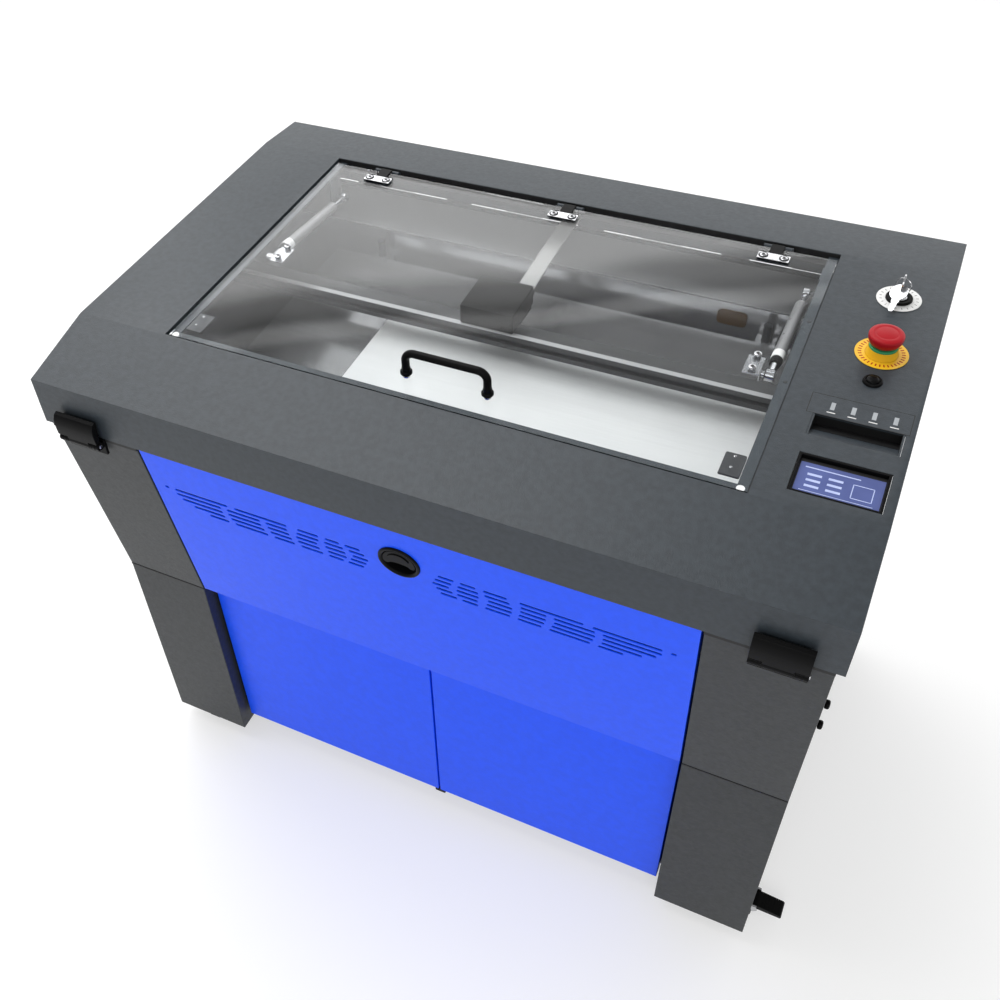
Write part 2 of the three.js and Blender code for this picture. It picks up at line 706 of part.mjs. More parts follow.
// Panel pieces are made upright with the foot at z = 0, then leaned forward.
function placePanel(mesh) {
  mesh.position.set(0, leanY(PANEL.foot), PANEL.foot);
  mesh.rotation.x = LEAN;
  return mesh;
}

function frontPanel() {
  const { half, long, fold, latchAt, latchR } = PANEL;
  const pan = cut(
    box(-half, half, 0, fold, 0, long),
    box(-half + 2, half - 2, 2, fold + 9, 2, long - 2),
  );
  const hole = bar('y', latchR + 0.4, -5, 5, 0, latchAt, 24);
  return placePanel(piece('front_panel', cut(pan, hole, ...ventSlots()), 'blue'));
}

function panelLatchBezel() {
  const { latchAt, latchR } = PANEL;
  const cup = turned([
    [0, 13], [latchR, 13], [latchR, -0.3], [28.4, -0.3], [28.4, -2], [27, -3],
    [23, -3], [22.5, -1.5], [22.5, 11], [0, 11],
  ], 28);
  const mesh = piece('panel_latch_bezel', cup.rotate([-90, 0, 0]).translate([0, 0, latchAt]), 'black');
  return placePanel(mesh);
}

// The paddle fills the upper part of the cup and swings out at the bottom.
function panelLatchPaddle() {
  const { latchAt } = PANEL;
  const disc = bar('y', 21.2, -1.5, 2.5, 0, 0, 24);
  const below = box(-30, 30, -9, 9, -30, -5);
  const rib = box(-9, 9, -3, 0, -5, 4);
  const body = join(cut(disc, below), rib).translate([0, 0, latchAt]);
  return placePanel(piece('panel_latch_paddle', body, 'black'));
}

// ---------------------------------------------------------------- doors
function door(side) {
  const inner = 1.5;
  const body = cut(
    boxSide(side, inner, DOOR_OUT_X, DOOR_Y, DOOR_Y + DOOR_DEEP, DOOR_BOTTOM_Z, DOOR_TOP_Z),
    boxSide(side, inner + 2, DOOR_OUT_X - 2, DOOR_Y + 2, DOOR_Y + 40, DOOR_BOTTOM_Z + 2, DOOR_TOP_Z - 2),
  );
  return piece(`door_${sideName(side)}`, body, 'blue');
}

// ---------------------------------------------------------------- motion stage
function gantryBeam() {
  const { x, y0, y1, z0, z1 } = BEAM;
  const profile = [
    [y0, z0], [y1, z0], [y1, z1], [y0, z1], [y0, z1 - 8], [y0 + 6, z1 - 8], [y0 + 6, z0 + 8], [y0, z0 + 8],
  ];
  return piece('gantry_beam', sweepX(profile, -x, x), 'aluminium');
}

function laserHead() {
  const { half, y0, y1, z0, z1 } = HEAD;
  const nozzleY = (y0 + y1) / 2;
  const nozzle = turned([[0, 741], [4, 741], [9, 748], [9, 753], [0, 753]], 16);
  const body = join(box(-half, half, y0, y1, z0, z1), nozzle.translate([0, nozzleY, 0]));
  const mesh = piece('laser_head', body, 'black');
  mesh.position.x = HEAD.x;
  return mesh;
}

function workTable() {
  const { x, y0, y1, z0, z1 } = TABLE;
  const rods = [-GUIDE.x, GUIDE.x];
  const lugs = rods.map((at) => box(at - 14, at + 14, y1 - 1, GUIDE.y + 11, z0 + 1, z0 + 13));
  const bores = rods.map((at) => bar('z', GUIDE.r + 0.8, z0 - 9, z1 + 9, at, GUIDE.y, 16));
  const relief = box(-x + 12, x - 12, y0 + 12, y1 - 12, z0 - 9, z1 - 4);
  const body = cut(join(box(-x, x, y0, y1, z0, z1), ...lugs), relief, ...bores);
  return piece('work_table', body, 'aluminium');
}

// ---------------------------------------------------------------- casters
// Caster pieces are made about the swivel axis with the wheel trailing to +X.
function casterFork(brake) {
  const plate = bar('z', 18, 60.5, 71.4, 0, 0, 16);
  const arm = brake
    ? [[-16, 61.8], [22, 61.8], [42, 33], [72, 33], [74, 24], [68, 18], [20, 18], [-16, 56]]
    : [[-16, 61.8], [22, 61.8], [44, 30], [36, 18], [20, 18], [-16, 56]];
  const cheeks = [-17, 14].map((y) => sweepY(arm, y, y + 3));
  const pins = [bar('y', 4, -16, 16, TRAIL, WHEEL_R, 12)];
  if (brake) pins.push(bar('y', 2, -16, 16, BRAKE_PIVOT.x, BRAKE_PIVOT.z, 12));
  return join(plate, ...cheeks, ...pins);
}

function casterWheel() {
  const tyre = turned([
    [4.6, -WHEEL_HALF], [WHEEL_R - 3, -WHEEL_HALF], [WHEEL_R, -WHEEL_HALF + 3],
    [WHEEL_R, WHEEL_HALF - 3], [WHEEL_R - 3, WHEEL_HALF], [4.6, WHEEL_HALF],
  ], 24);
  return tyre.rotate([90, 0, 0]);
}

function brakePedal() {
  const { x, z } = BRAKE_PIVOT;
  const tread = [[x, z + 5], [x + 8, z + 6], [BRAKE_TIP - 2, z + 2], [BRAKE_TIP, z - 1],
    [BRAKE_TIP - 1, z - 5], [x + 10, z - 4], [x, z - 5]];
  const body = join(sweepY(tread, -13, 13), bar('y', 5, -13, 13, x, z, 12));
  return cut(body, bar('y', 2.5, -15, 15, x, z, 12));
}

function caster({ name, x, y, turn, brake }) {
  const fork = piece(`caster_fork_${name}`, casterFork(brake), 'steel');
  const wheel = piece(`caster_wheel_${name}`, casterWheel(), 'rubber');
  wheel.position.set(TRAIL, 0, WHEEL_R);
  const members = [fork, wheel];
  if (brake) members.push(piece(`brake_pedal_${name}`, brakePedal(), 'black'));
  const group = assembly(`caster_${name}`, ...members);
  group.position.set(x, y, 0);
  group.rotation.z = THREE.MathUtils.degToRad(turn);
  return group;
}

// ---------------------------------------------------------------- machine
const SIDES = [-1, 1];

const cabinet = assembly(
  'cabinet', basePan(), ...SIDES.map(sidePanel), rearPanel(), mainsInlet(),
  ...SIDES.map(upperPillar), ...SIDES.map(lowerPillar),
  ...SIDES.map(latchBase), ...SIDES.map(latchLever), hoodHinge(),
);
const interior = assembly(
  'interior', chamberTub(), tableGuide(), ...SIDES.map(yRail), laserSource(),
  electronicsBox(), gantryBeam(), laserHead(), workTable(),
);
const lid = assembly(
  'lid', acrylicLid(), lidHandle(), ...[0, 1, 2].map(lidHinge), ...SIDES.map(strutBracket),
  ...SIDES.map(strutRod), ...SIDES.map(strutCylinder),
);
const controls = assembly(
  'controls', screenBezel(), screenPanel(), statusPanel(), keySwitch(), key(),
  estopBase(), estopButton(), startButton(),
);
const hood = assembly('hood', hoodShell(), ...SIDES.map(latchKeeper), lid, controls);
const front = assembly(
  'front', frontPanel(), panelLatchBezel(), panelLatchPaddle(), ...SIDES.map(door),
);
const machine = assembly('laser_cutter', cabinet, interior, hood, front, ...CASTERS.map(caster));

export default machine;
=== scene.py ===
# %% [markdown]
# # A laser cutting machine, dressed for its portrait
# The CAD model gives every panel, hinge and wheel its size and its place.
# This lesson adds what CAD leaves out: rolled edges, powder coat, screws,
# labels, light, and a camera. Nothing is moved, so the two models agree.

# %% Load the machine
import json
from math import cos, pi, radians, sin
import bmesh
import bpy
from mathutils import Matrix, Vector

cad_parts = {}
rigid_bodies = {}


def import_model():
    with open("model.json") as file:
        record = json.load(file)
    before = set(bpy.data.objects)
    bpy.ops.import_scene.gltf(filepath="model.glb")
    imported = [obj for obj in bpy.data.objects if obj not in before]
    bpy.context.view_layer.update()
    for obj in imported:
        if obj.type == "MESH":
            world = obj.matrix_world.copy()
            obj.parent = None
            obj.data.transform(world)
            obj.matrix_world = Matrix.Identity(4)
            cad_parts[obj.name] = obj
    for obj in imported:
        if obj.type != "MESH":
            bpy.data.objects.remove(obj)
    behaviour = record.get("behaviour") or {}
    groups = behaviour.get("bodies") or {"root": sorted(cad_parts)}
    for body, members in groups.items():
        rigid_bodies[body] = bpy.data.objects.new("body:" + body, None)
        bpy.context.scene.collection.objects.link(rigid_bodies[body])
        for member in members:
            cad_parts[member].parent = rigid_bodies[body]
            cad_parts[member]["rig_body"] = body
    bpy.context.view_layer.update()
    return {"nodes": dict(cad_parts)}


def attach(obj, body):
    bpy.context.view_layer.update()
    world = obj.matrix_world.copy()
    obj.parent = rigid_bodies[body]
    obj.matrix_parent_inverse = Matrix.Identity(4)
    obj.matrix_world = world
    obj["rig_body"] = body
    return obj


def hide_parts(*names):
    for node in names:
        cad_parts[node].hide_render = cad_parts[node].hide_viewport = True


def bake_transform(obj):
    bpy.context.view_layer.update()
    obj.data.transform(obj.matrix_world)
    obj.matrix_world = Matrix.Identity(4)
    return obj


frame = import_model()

MM = 0.001

# %% [markdown]
# ## The camera
# The machine is looked down on from the right of its front. A mild lens from
# well back keeps the cabinet's sides nearly parallel. The small sideways shift
# slides the picture without turning the camera, so uprights lean the right way.

# %% Place the camera
def place_camera():
    lens = bpy.data.cameras.new("view_camera")
    lens.lens = 40.68
    lens.sensor_width = 36
    lens.shift_x = 0.105
    lens.clip_start = 0.05
    camera = bpy.data.objects.new("view_camera", lens)
    camera.location = (0.46166, -1.10374, 1.70483)
    camera.rotation_euler = [radians(a) for a in (44.301, 3.979, 26.534)]
    bpy.context.scene.collection.objects.link(camera)
    bpy.context.scene.camera = camera
    return camera

print("camera", tuple(place_camera().location))

# %% [markdown]
# ## Shader groups
# Powder coat, moulded plastic and brushed metal all need the same few effects: a fine grain that
# lifts the surface, a slow drift in colour, and lighter edges that are partly rubbed wear and
# partly a painted highlight. Each effect could be copied into every material, but a node group is
# built once and placed wherever it is wanted.

# %% Tools for node groups
def node(tree, kind, at=(0, 0), **settings):
    made = tree.nodes.new(kind)
    made.location = at
    for name, value in settings.items():
        setattr(made, name, value)
    return made


def put(step, values):
    """Give fixed values to a node's sockets, by label or by number."""
    for socket, value in values.items():
        step.inputs[socket].default_value = value


def new_group(name, inputs, outputs):
    tree = bpy.data.node_groups.new(name, "ShaderNodeTree")
    for label, kind, value in inputs:
        socket = tree.interface.new_socket(label, in_out="INPUT", socket_type=kind)
        socket.default_value = value
    for label, kind in outputs:
        tree.interface.new_socket(label, in_out="OUTPUT", socket_type=kind)
    return tree, node(tree, "NodeGroupInput", (-900, 0)), node(tree, "NodeGroupOutput", (600, 0))


FLOAT = "NodeSocketFloat"
COLOR = "NodeSocketColor"


def noise_into(tree, at, scale_from, detail, seed_offset=0.0):
    """A 3-D noise on the piece's own coordinates, its scale fed by a socket."""
    where = node(tree, "ShaderNodeTexCoord", (at[0] - 400, at[1]))
    shift = node(tree, "ShaderNodeMapping", (at[0] - 200, at[1]))
    put(shift, {"Location": (seed_offset, seed_offset * 0.7, 0)})
    noise = node(tree, "ShaderNodeTexNoise", at)
    put(noise, {"Detail": detail})
    tree.links.new(where.outputs["Object"], shift.inputs["Vector"])
    tree.links.new(shift.outputs["Vector"], noise.inputs["Vector"])
    tree.links.new(scale_from, noise.inputs["Scale"])
    return noise

# %% [markdown]
# The grain group gives a height for a Bump node and a small mask. The drift group mixes two close
# colours with a large soft noise and lightens the rolled edges, partly as rubbed wear and partly
# as a painted highlight: the attribute named rim is painted on every rolled edge further down.

# %% Grain and drift
def grain_group():
    tree, given, out = new_group(
        "surface_grain",
        [("Scale", FLOAT, 900.0), ("Coarse Scale", FLOAT, 140.0), ("Coarse Share", FLOAT, 0.3)],
        [("Height", FLOAT), ("Mask", FLOAT)],
    )
    fine = noise_into(tree, (-300, 200), given.outputs["Scale"], 2.0)
    coarse = noise_into(tree, (-300, -100), given.outputs["Coarse Scale"], 3.0, 3.1)
    mix = node(tree, "ShaderNodeMix", (0, 100))
    tree.links.new(given.outputs["Coarse Share"], mix.inputs["Factor"])
    tree.links.new(fine.outputs["Fac"], mix.inputs["A"])
    tree.links.new(coarse.outputs["Fac"], mix.inputs["B"])
    tree.links.new(mix.outputs["Result"], out.inputs["Height"])
    tree.links.new(coarse.outputs["Fac"], out.inputs["Mask"])
    return tree


def drift_group():
    tree, given, out = new_group(
        "colour_drift",
        [("Base", COLOR, (0.1, 0.1, 0.1, 1)), ("Other", COLOR, (0.12, 0.12, 0.12, 1)),
         ("Rubbed", COLOR, (0.3, 0.3, 0.3, 1)), ("Patch Scale", FLOAT, 3.0),
         ("Edge Wear", FLOAT, 0.35)],
        [("Color", COLOR), ("Wear", FLOAT)],
    )
    patches = noise_into(tree, (-500, 200), given.outputs["Patch Scale"], 4.0, 1.7)
    soft = node(tree, "ShaderNodeMapRange", (-300, 200))
    put(soft, {"From Min": 0.35, "From Max": 0.65})
    two = node(tree, "ShaderNodeMix", (-100, 200), data_type="RGBA")
    rim = node(tree, "ShaderNodeAttribute", (-500, -200), attribute_name="rim")
    flecks = node(tree, "ShaderNodeTexNoise", (-500, -400))
    put(flecks, {"Scale": 45.0})
    where = node(tree, "ShaderNodeTexCoord", (-700, -400))
    broken = node(tree, "ShaderNodeMapRange", (-300, -400))
    put(broken, {"From Min": 0.38, "From Max": 0.62})
    both = node(tree, "ShaderNodeMath", (-100, -300), operation="MULTIPLY")
    amount = node(tree, "ShaderNodeMath", (80, -300), operation="MULTIPLY")
    # The rim mask lightens rolled edges: partly rubbed wear, partly a painted highlight along the
    # edges.
    worn_and_highlit = node(tree, "ShaderNodeMix", (300, 100), data_type="RGBA")
    link = tree.links.new
    link(where.outputs["Object"], flecks.inputs["Vector"])
    link(patches.outputs["Fac"], soft.inputs["Value"])
    link(soft.outputs["Result"], two.inputs["Factor"])
    link(given.outputs["Base"], two.inputs[6])
    link(given.outputs["Other"], two.inputs[7])
    link(flecks.outputs["Fac"], broken.inputs["Value"])
    link(rim.outputs["Fac"], both.inputs[0])
    link(broken.outputs["Result"], both.inputs[1])
    link(both.outputs[0], amount.inputs[0])
    link(given.outputs["Edge Wear"], amount.inputs[1])
    link(amount.outputs[0], worn_and_highlit.inputs["Factor"])
    link(two.outputs[2], worn_and_highlit.inputs[6])
    link(given.outputs["Rubbed"], worn_and_highlit.inputs[7])
    link(worn_and_highlit.outputs[2], out.inputs["Color"])
    link(amount.outputs[0], out.inputs["Wear"])
    return tree


GRAIN = grain_group()
DRIFT = drift_group()
print("groups", GRAIN.name, DRIFT.name)

# %% [markdown]
# ## Finishes
# One function builds every coated or moulded finish from the two groups. What
# differs is a handful of values: the colours, how rough the skin is, how deep
# and how fine its grain is. Values that never change sit on the shader itself.

# %% Coated, moulded and brushed finishes
def new_material(name):
    made = bpy.data.materials.new(name)
    made.use_nodes = True
    return made, made.node_tree, made.node_tree.nodes["Principled BSDF"]


def mix_color(color, factor):
    return tuple(min(1.0, c * factor) for c in color) + (1.0,)


def finish(name, color, rough, grain=(900, 140, 0.3), bump=0.06, deep=0.0002,
           metal=0.0, spread=0.12, wear=0.3, rubbed=None, patch=3.0, rough_span=0.08, gloss=0.5):
    made, tree, shader = new_material(name)
    put(shader, {"Metallic": metal, "Specular IOR Level": gloss})
    drift = node(tree, "ShaderNodeGroup", (-500, 200), node_tree=DRIFT)
    # The lighter edge colour on rolled edges is rubbed wear and a painted edge highlight.
    put(drift, {"Base": mix_color(color, 1 - spread), "Other": mix_color(color, 1 + spread),
                "Rubbed": (*rubbed, 1) if rubbed else mix_color(color, 2.6),
                "Patch Scale": patch, "Edge Wear": wear})
    grains = node(tree, "ShaderNodeGroup", (-500, -200), node_tree=GRAIN)
    put(grains, {"Scale": grain[0], "Coarse Scale": grain[1], "Coarse Share": grain[2]})
    rougher = node(tree, "ShaderNodeMapRange", (-250, 0))
    put(rougher, {"To Min": rough - rough_span, "To Max": rough + rough_span})
    bumps = node(tree, "ShaderNodeBump", (-250, -250))
    put(bumps, {"Strength": bump, "Distance": deep})
    link = tree.links.new
    link(drift.outputs["Color"], shader.inputs["Base Color"])
    link(grains.outputs["Mask"], rougher.inputs["Value"])
    link(rougher.outputs["Result"], shader.inputs["Roughness"])
    link(grains.outputs["Height"], bumps.inputs["Height"])
    link(bumps.outputs["Normal"], shader.inputs["Normal"])
    return made


PAINT, MOULDED, FINE_SHEET = (900, 120, 0.4), (900, 140, 0.3), (500, 90, 0.5)
ROUGH_COAT = (800, 200, 0.45)
FINISHES = {
    "charcoal": finish("charcoal_powder_coat", (0.030, 0.038, 0.046), 0.40, ROUGH_COAT,
                       bump=0.6, deep=0.0006, spread=0.12, wear=0.3, rubbed=(0.06, 0.07, 0.078),
                       patch=120.0, gloss=0.36),
    "pillar": finish("pillar_powder_coat", (0.029, 0.032, 0.034), 0.46, ROUGH_COAT,
                     bump=0.6, deep=0.0006, spread=0.12, wear=0.3, rubbed=(0.07, 0.075, 0.08),
                     patch=120.0, gloss=0.3),
    "blue": finish("blue_powder_coat", (0.004, 0.085, 0.97), 0.36, (1000, 180, 0.4),
                   bump=0.25, deep=0.0003, spread=0.04, wear=0.3, rubbed=(0.05, 0.16, 1.0),
                   patch=90.0, gloss=0.2),
    "black": finish("black_moulding", (0.004, 0.004, 0.0042), 0.34, (1200, 300, 0.3),
                    bump=0.2, deep=0.0002, spread=0.2, wear=0.3, rubbed=(0.03, 0.03, 0.031),
                    gloss=0.07),
    "beam": finish("gantry_paint", (0.055, 0.056, 0.058), 0.4, PAINT,
                   bump=0.15, spread=0.1, wear=0.2, rubbed=(0.12, 0.12, 0.12), gloss=0.3),
    "cover": finish("pale_bay_cover", (0.26, 0.262, 0.266), 0.5, PAINT,
                    bump=0.1, spread=0.06, wear=0.2, rubbed=(0.3, 0.3, 0.3)),
    "bed": finish("bay_steel_sheet", (0.37, 0.372, 0.38), 0.16, (500, 40, 0.5),
                  bump=0.02, metal=0.75, spread=0.1, wear=0.2, rubbed=(0.4, 0.4, 0.41),
                  patch=14.0, rough_span=0.04),
    # A pale strip along the top front edge of the gantry beam.
    "strip": finish("gantry_scale_strip", (0.36, 0.362, 0.366), 0.4, PAINT,
                    bump=0.08, metal=0.1, spread=0.06, wear=0.3, rubbed=(0.5, 0.5, 0.5)),
    "tube": finish("strut_tube", (0.22, 0.22, 0.225), 0.3, PAINT,
                   bump=0.05, metal=0.2, spread=0.08, wear=0.2, rubbed=(0.4, 0.4, 0.4)),
    "dark_steel": finish("dark_steel_plate", (0.040, 0.042, 0.046), 0.42, (500, 60, 0.5),
                         bump=0.1, metal=0.5, spread=0.2, wear=0.4, rubbed=(0.3, 0.3, 0.31)),
    "steel": finish("bright_steel", (0.50, 0.505, 0.52), 0.2, (700, 90, 0.5),
                    bump=0.08, metal=1.0, spread=0.08, wear=0.3, rubbed=(0.85, 0.85, 0.86)),
    "aluminium": finish("sawn_aluminium", (0.56, 0.57, 0.59), 0.34, (500, 70, 0.5),
                        bump=0.08, metal=0.9, spread=0.06, wear=0.3, rubbed=(0.8, 0.8, 0.82)),
    "yellow": finish("yellow_moulding", (0.80, 0.47, 0.015), 0.38, MOULDED,
                     bump=0.05, spread=0.05, wear=0.1, rubbed=(0.9, 0.7, 0.3)),
    "red": finish("red_moulding", (0.36, 0.005, 0.011), 0.42, MOULDED,
                  bump=0.05, spread=0.08, wear=0.15, rubbed=(0.5, 0.05, 0.05), gloss=0.2),
    "green": finish("green_ring", (0.02, 0.26, 0.10), 0.4, MOULDED, bump=0.05),
    "white": finish("white_moulding", (0.78, 0.78, 0.77), 0.42, MOULDED,
                    bump=0.05, spread=0.03, wear=0.05),
    "rubber": finish("grey_rubber", (0.028, 0.028, 0.029), 0.72, (400, 90, 0.6),
                     bump=0.3, spread=0.25, wear=0.3, rubbed=(0.10, 0.10, 0.10)),
    "hub": finish("pale_hub", (0.42, 0.42, 0.42), 0.5, FINE_SHEET, bump=0.08),
    # Near-black: painted shade in the screw sockets, the lid gap, the pocket and the joints, and
    # the real black of the display glass and washers.
    "shadow": finish("deep_recess", (0.004, 0.004, 0.0045), 0.6, (600, 90, 0.5), bump=0.1),
}
print(len(FINISHES), "finishes")

# %% [markdown]
# Brushed sheet is different: its scratches all run one way. A noise stretched a
# hundredfold along X draws them, and the same streaks vary the roughness.

# %% Brushed plate
def brushed_plate(name, color, stretch=(1.2, 160, 160), rough=0.45, metal=0.35):
    made, tree, shader = new_material(name)
    put(shader, {"Metallic": metal})
    where = node(tree, "ShaderNodeTexCoord", (-1000, 0))
    long = node(tree, "ShaderNodeMapping", (-800, 0))
    put(long, {"Scale": stretch})
    streaks = node(tree, "ShaderNodeTexNoise", (-600, 0))
    put(streaks, {"Scale": 6.0, "Detail": 5.0})
    stains = node(tree, "ShaderNodeTexNoise", (-600, 300))
    put(stains, {"Scale": 7.0})
    tone = node(tree, "ShaderNodeMapRange", (-400, 0))
    put(tone, {"To Min": rough - 0.08, "To Max": rough + 0.12})
    shade = node(tree, "ShaderNodeMix", (-300, 250), data_type="RGBA")
    put(shade, {6: mix_color(color, 0.86), 7: mix_color(color, 1.1)})
    blend = node(tree, "ShaderNodeMath", (-450, 250), operation="MULTIPLY_ADD")
    put(blend, {1: 0.5})
    bumps = node(tree, "ShaderNodeBump", (-250, -250))
    put(bumps, {"Strength": 0.12, "Distance": 0.0002})
    link = tree.links.new
    link(where.outputs["Object"], long.inputs["Vector"])
    link(long.outputs["Vector"], streaks.inputs["Vector"])
    link(where.outputs["Object"], stains.inputs["Vector"])
    link(streaks.outputs["Fac"], tone.inputs["Value"])
    link(tone.outputs["Result"], shader.inputs["Roughness"])
    link(stains.outputs["Fac"], blend.inputs[0])
    link(streaks.outputs["Fac"], blend.inputs[2])
    link(blend.outputs[0], shade.inputs["Factor"])
    link(shade.outputs[2], shader.inputs["Base Color"])
    link(streaks.outputs["Fac"], bumps.inputs["Height"])
    link(bumps.outputs["Normal"], shader.inputs["Normal"])
    return made


FINISHES["plate"] = brushed_plate("brushed_table_plate", (0.63, 0.64, 0.64))
print("brushed plate made")

# %% [markdown]
# The lid is cast acrylic: clear, faintly grey and hard, with the fine swirls
# that wiping leaves, which a slow noise draws as a slight change of roughness.
# Its index is set lower than real acrylic, 1.28 for 1.49, so that the mirror
# image of the room stays faint and the dark head shows clearly through it.

# %% Clear acrylic
def acrylic(name):
    made, tree, shader = new_material(name)
    put(shader, {"Transmission Weight": 1.0, "IOR": 1.28})
    where = node(tree, "ShaderNodeTexCoord", (-900, 0))
    swirls = node(tree, "ShaderNodeTexNoise", (-700, 0))
    put(swirls, {"Scale": 9.0, "Detail": 6.0, "Distortion": 1.5})
    haze = node(tree, "ShaderNodeMapRange", (-450, -100))
    put(haze, {"From Min": 0.4, "From Max": 0.7, "To Min": 0.0, "To Max": 0.045})
    tint = node(tree, "ShaderNodeMix", (-450, 200), data_type="RGBA")
    put(tint, {6: (0.90, 0.92, 0.93, 1), 7: (0.95, 0.96, 0.96, 1)})
    link = tree.links.new
    link(where.outputs["Object"], swirls.inputs["Vector"])
    link(swirls.outputs["Fac"], haze.inputs["Value"])
    link(haze.outputs["Result"], shader.inputs["Roughness"])
    link(swirls.outputs["Fac"], tint.inputs["Factor"])
    link(tint.outputs[2], shader.inputs["Base Color"])
    return made


FINISHES["clear"] = acrylic("clear_acrylic")
print("acrylic made")

# %% [markdown]
# Lit parts: the display and the four light bars. Their colour also feeds the
# emission, through a faint pattern, so that they glow without being flat.

# %% Lit surfaces
def lit(name, dim, bright, strength, scale):
    made, tree, shader = new_material(name)
    put(shader, {"Roughness": 0.12, "Emission Strength": strength})
    where = node(tree, "ShaderNodeTexCoord", (-800, 0))
    cloud = node(tree, "ShaderNodeTexNoise", (-600, 0))
    put(cloud, {"Scale": scale})
    colour = node(tree, "ShaderNodeMix", (-300, 0), data_type="RGBA")
    put(colour, {6: (*dim, 1), 7: (*bright, 1)})
    link = tree.links.new
    link(where.outputs["Object"], cloud.inputs["Vector"])
    link(cloud.outputs["Fac"], colour.inputs["Factor"])
    link(colour.outputs[2], shader.inputs["Base Color"])
    link(colour.outputs[2], shader.inputs["Emission Color"])
    return made


FINISHES["ribbon"] = finish("flat_cable_sheath", (0.33, 0.33, 0.325), 0.5, FINE_SHEET,
                            bump=0.1)
FINISHES["screen"] = lit("display_glow", (0.045, 0.06, 0.17), (0.10, 0.13, 0.33), 0.32, 22)
FINISHES["menu"] = lit("display_menu", (0.30, 0.36, 0.62), (0.5, 0.56, 0.8), 0.2, 60)
FINISHES["light_bar"] = lit("light_bar", (0.30, 0.32, 0.34), (0.42, 0.44, 0.46), 0.08, 90)
# The amber sight window is no lamp: its faint emission is a painted glow.
FINISHES["amber"] = lit("amber_window", (0.035, 0.018, 0.004), (0.07, 0.035, 0.008), 0.05, 60)
print(len(FINISHES), "finishes in all")

# %% [markdown]
# ## Tools for meshes
# Pieces are written in millimetres, as a drawing would give them, and scaled to
# metres once, when the mesh is finished. Several shapes may share one mesh: a
# label and its ticks, say, are one moulding to whoever picks them up.

# %% Make, colour and place a piece
def to_object(name, shape, finishes, body, angle=32, replaces=()):
    """Turn a bmesh in millimetres into a finished piece that rides on a body."""
    bmesh.ops.recalc_face_normals(shape, faces=shape.faces)
    bmesh.ops.scale(shape, verts=shape.verts, vec=(MM,) * 3)
    mesh = bpy.data.meshes.new(name)
    shape.to_mesh(mesh)
    shape.free()
    return settle(name, mesh, finishes, body, angle, replaces)


def even_normals(piece):
    """Let the flat faces rule the shading, so a rolled edge never bends them."""
    weigh = piece.modifiers.new("weigh", "WEIGHTED_NORMAL")
    weigh.mode = "FACE_AREA"
    weigh.weight = 100
    weigh.keep_sharp = True
    ready = piece.evaluated_get(bpy.context.evaluated_depsgraph_get())
    weighed = bpy.data.meshes.new_from_object(ready)
    piece.modifiers.clear()
    piece.data = weighed


def settle(name, mesh, finishes, body, angle=32, replaces=()):
    kinds = [finishes] if isinstance(finishes, str) else list(finishes)
    if not mesh.materials:
        for kind in kinds:
            mesh.materials.append(FINISHES[kind])
    mesh.shade_smooth()
    mesh.set_sharp_from_angle(angle=radians(angle))
    piece = bpy.data.objects.new(name, mesh)
    bpy.context.scene.collection.objects.link(piece)
    if "rim" in mesh.attributes:
        even_normals(piece)
    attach(piece, body)
    if replaces:
        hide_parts(*replaces)
    return piece


def add_box(shape, x0, x1, y0, y1, z0, z1, index=0):
    made = bmesh.ops.create_cube(shape, size=1)["verts"]
    spread = Matrix.Diagonal((x1 - x0, y1 - y0, z1 - z0, 1))
    middle = Matrix.Translation(((x0 + x1) / 2, (y0 + y1) / 2, (z0 + z1) / 2))
    bmesh.ops.transform(shape, verts=made, matrix=middle @ spread)
    for face in {f for v in made for f in v.link_faces}:
        face.material_index = index
    return made


def add_turned(shape, profile, at=(0, 0, 0), axis="Z", steps=48, index=0, matrix=None):
    """Spin a [radius, height] profile; its ends are closed if they reach the axis."""
    rings = []
    for r, h in profile:
        if r < 1e-6:
            rings.append([shape.verts.new((0, 0, h))])
            continue
        turn = [2 * pi * i / steps for i in range(steps)]
        rings.append([shape.verts.new((r * cos(a), r * sin(a), h)) for a in turn])
    faces = []
    for low, high in zip(rings, rings[1:]):
        for i in range(steps):
            j = (i + 1) % steps
            loop = [low[i % len(low)], low[j % len(low)], high[j % len(high)], high[i % len(high)]]
            unique = list(dict.fromkeys(loop))
            if len(unique) > 2:
                faces.append(shape.faces.new(unique))
    for face in faces:
        face.material_index = index
    turns = {"Z": Matrix(), "X": Matrix.Rotation(pi / 2, 4, "Y"),
             "Y": Matrix.Rotation(-pi / 2, 4, "X")}
    place = Matrix.Translation(at) @ turns[axis]
    if matrix is not None:
        place = matrix @ place
    verts = [v for ring in rings for v in ring]
    bmesh.ops.transform(shape, verts=verts, matrix=place)
    return verts


def add_prism(shape, outline, x0, x1, index=0):
    """An outline in [y, z] pulled along X."""
    ends = [[shape.verts.new((x, y, z)) for y, z in outline] for x in (x0, x1)]
    count = len(outline)
    faces = [shape.faces.new(ends[0]), shape.faces.new(ends[1])]
    for i in range(count):
        j = (i + 1) % count
        faces.append(shape.faces.new((ends[0][i], ends[0][j], ends[1][j], ends[1][i])))
    for face in faces:
        face.material_index = index
    return ends[0] + ends[1]


def round_edges(shape, width, segments=2, angle=30, mark=True):
    """Bevel every edge sharper than angle; the new faces carry the rim mark."""
    sharp = [e for e in shape.edges if len(e.link_faces) == 2
             and e.calc_face_angle(0) > radians(angle)]
    made = bmesh.ops.bevel(shape, geom=sharp, offset=width, segments=segments, profile=0.5,
                           affect="EDGES", clamp_overlap=True)
    if mark:
        rim = shape.faces.layers.float.get("rim") or shape.faces.layers.float.new("rim")
        for face in made["faces"]:
            if face.is_valid:
                face[rim] = 1.0
    return len(sharp)

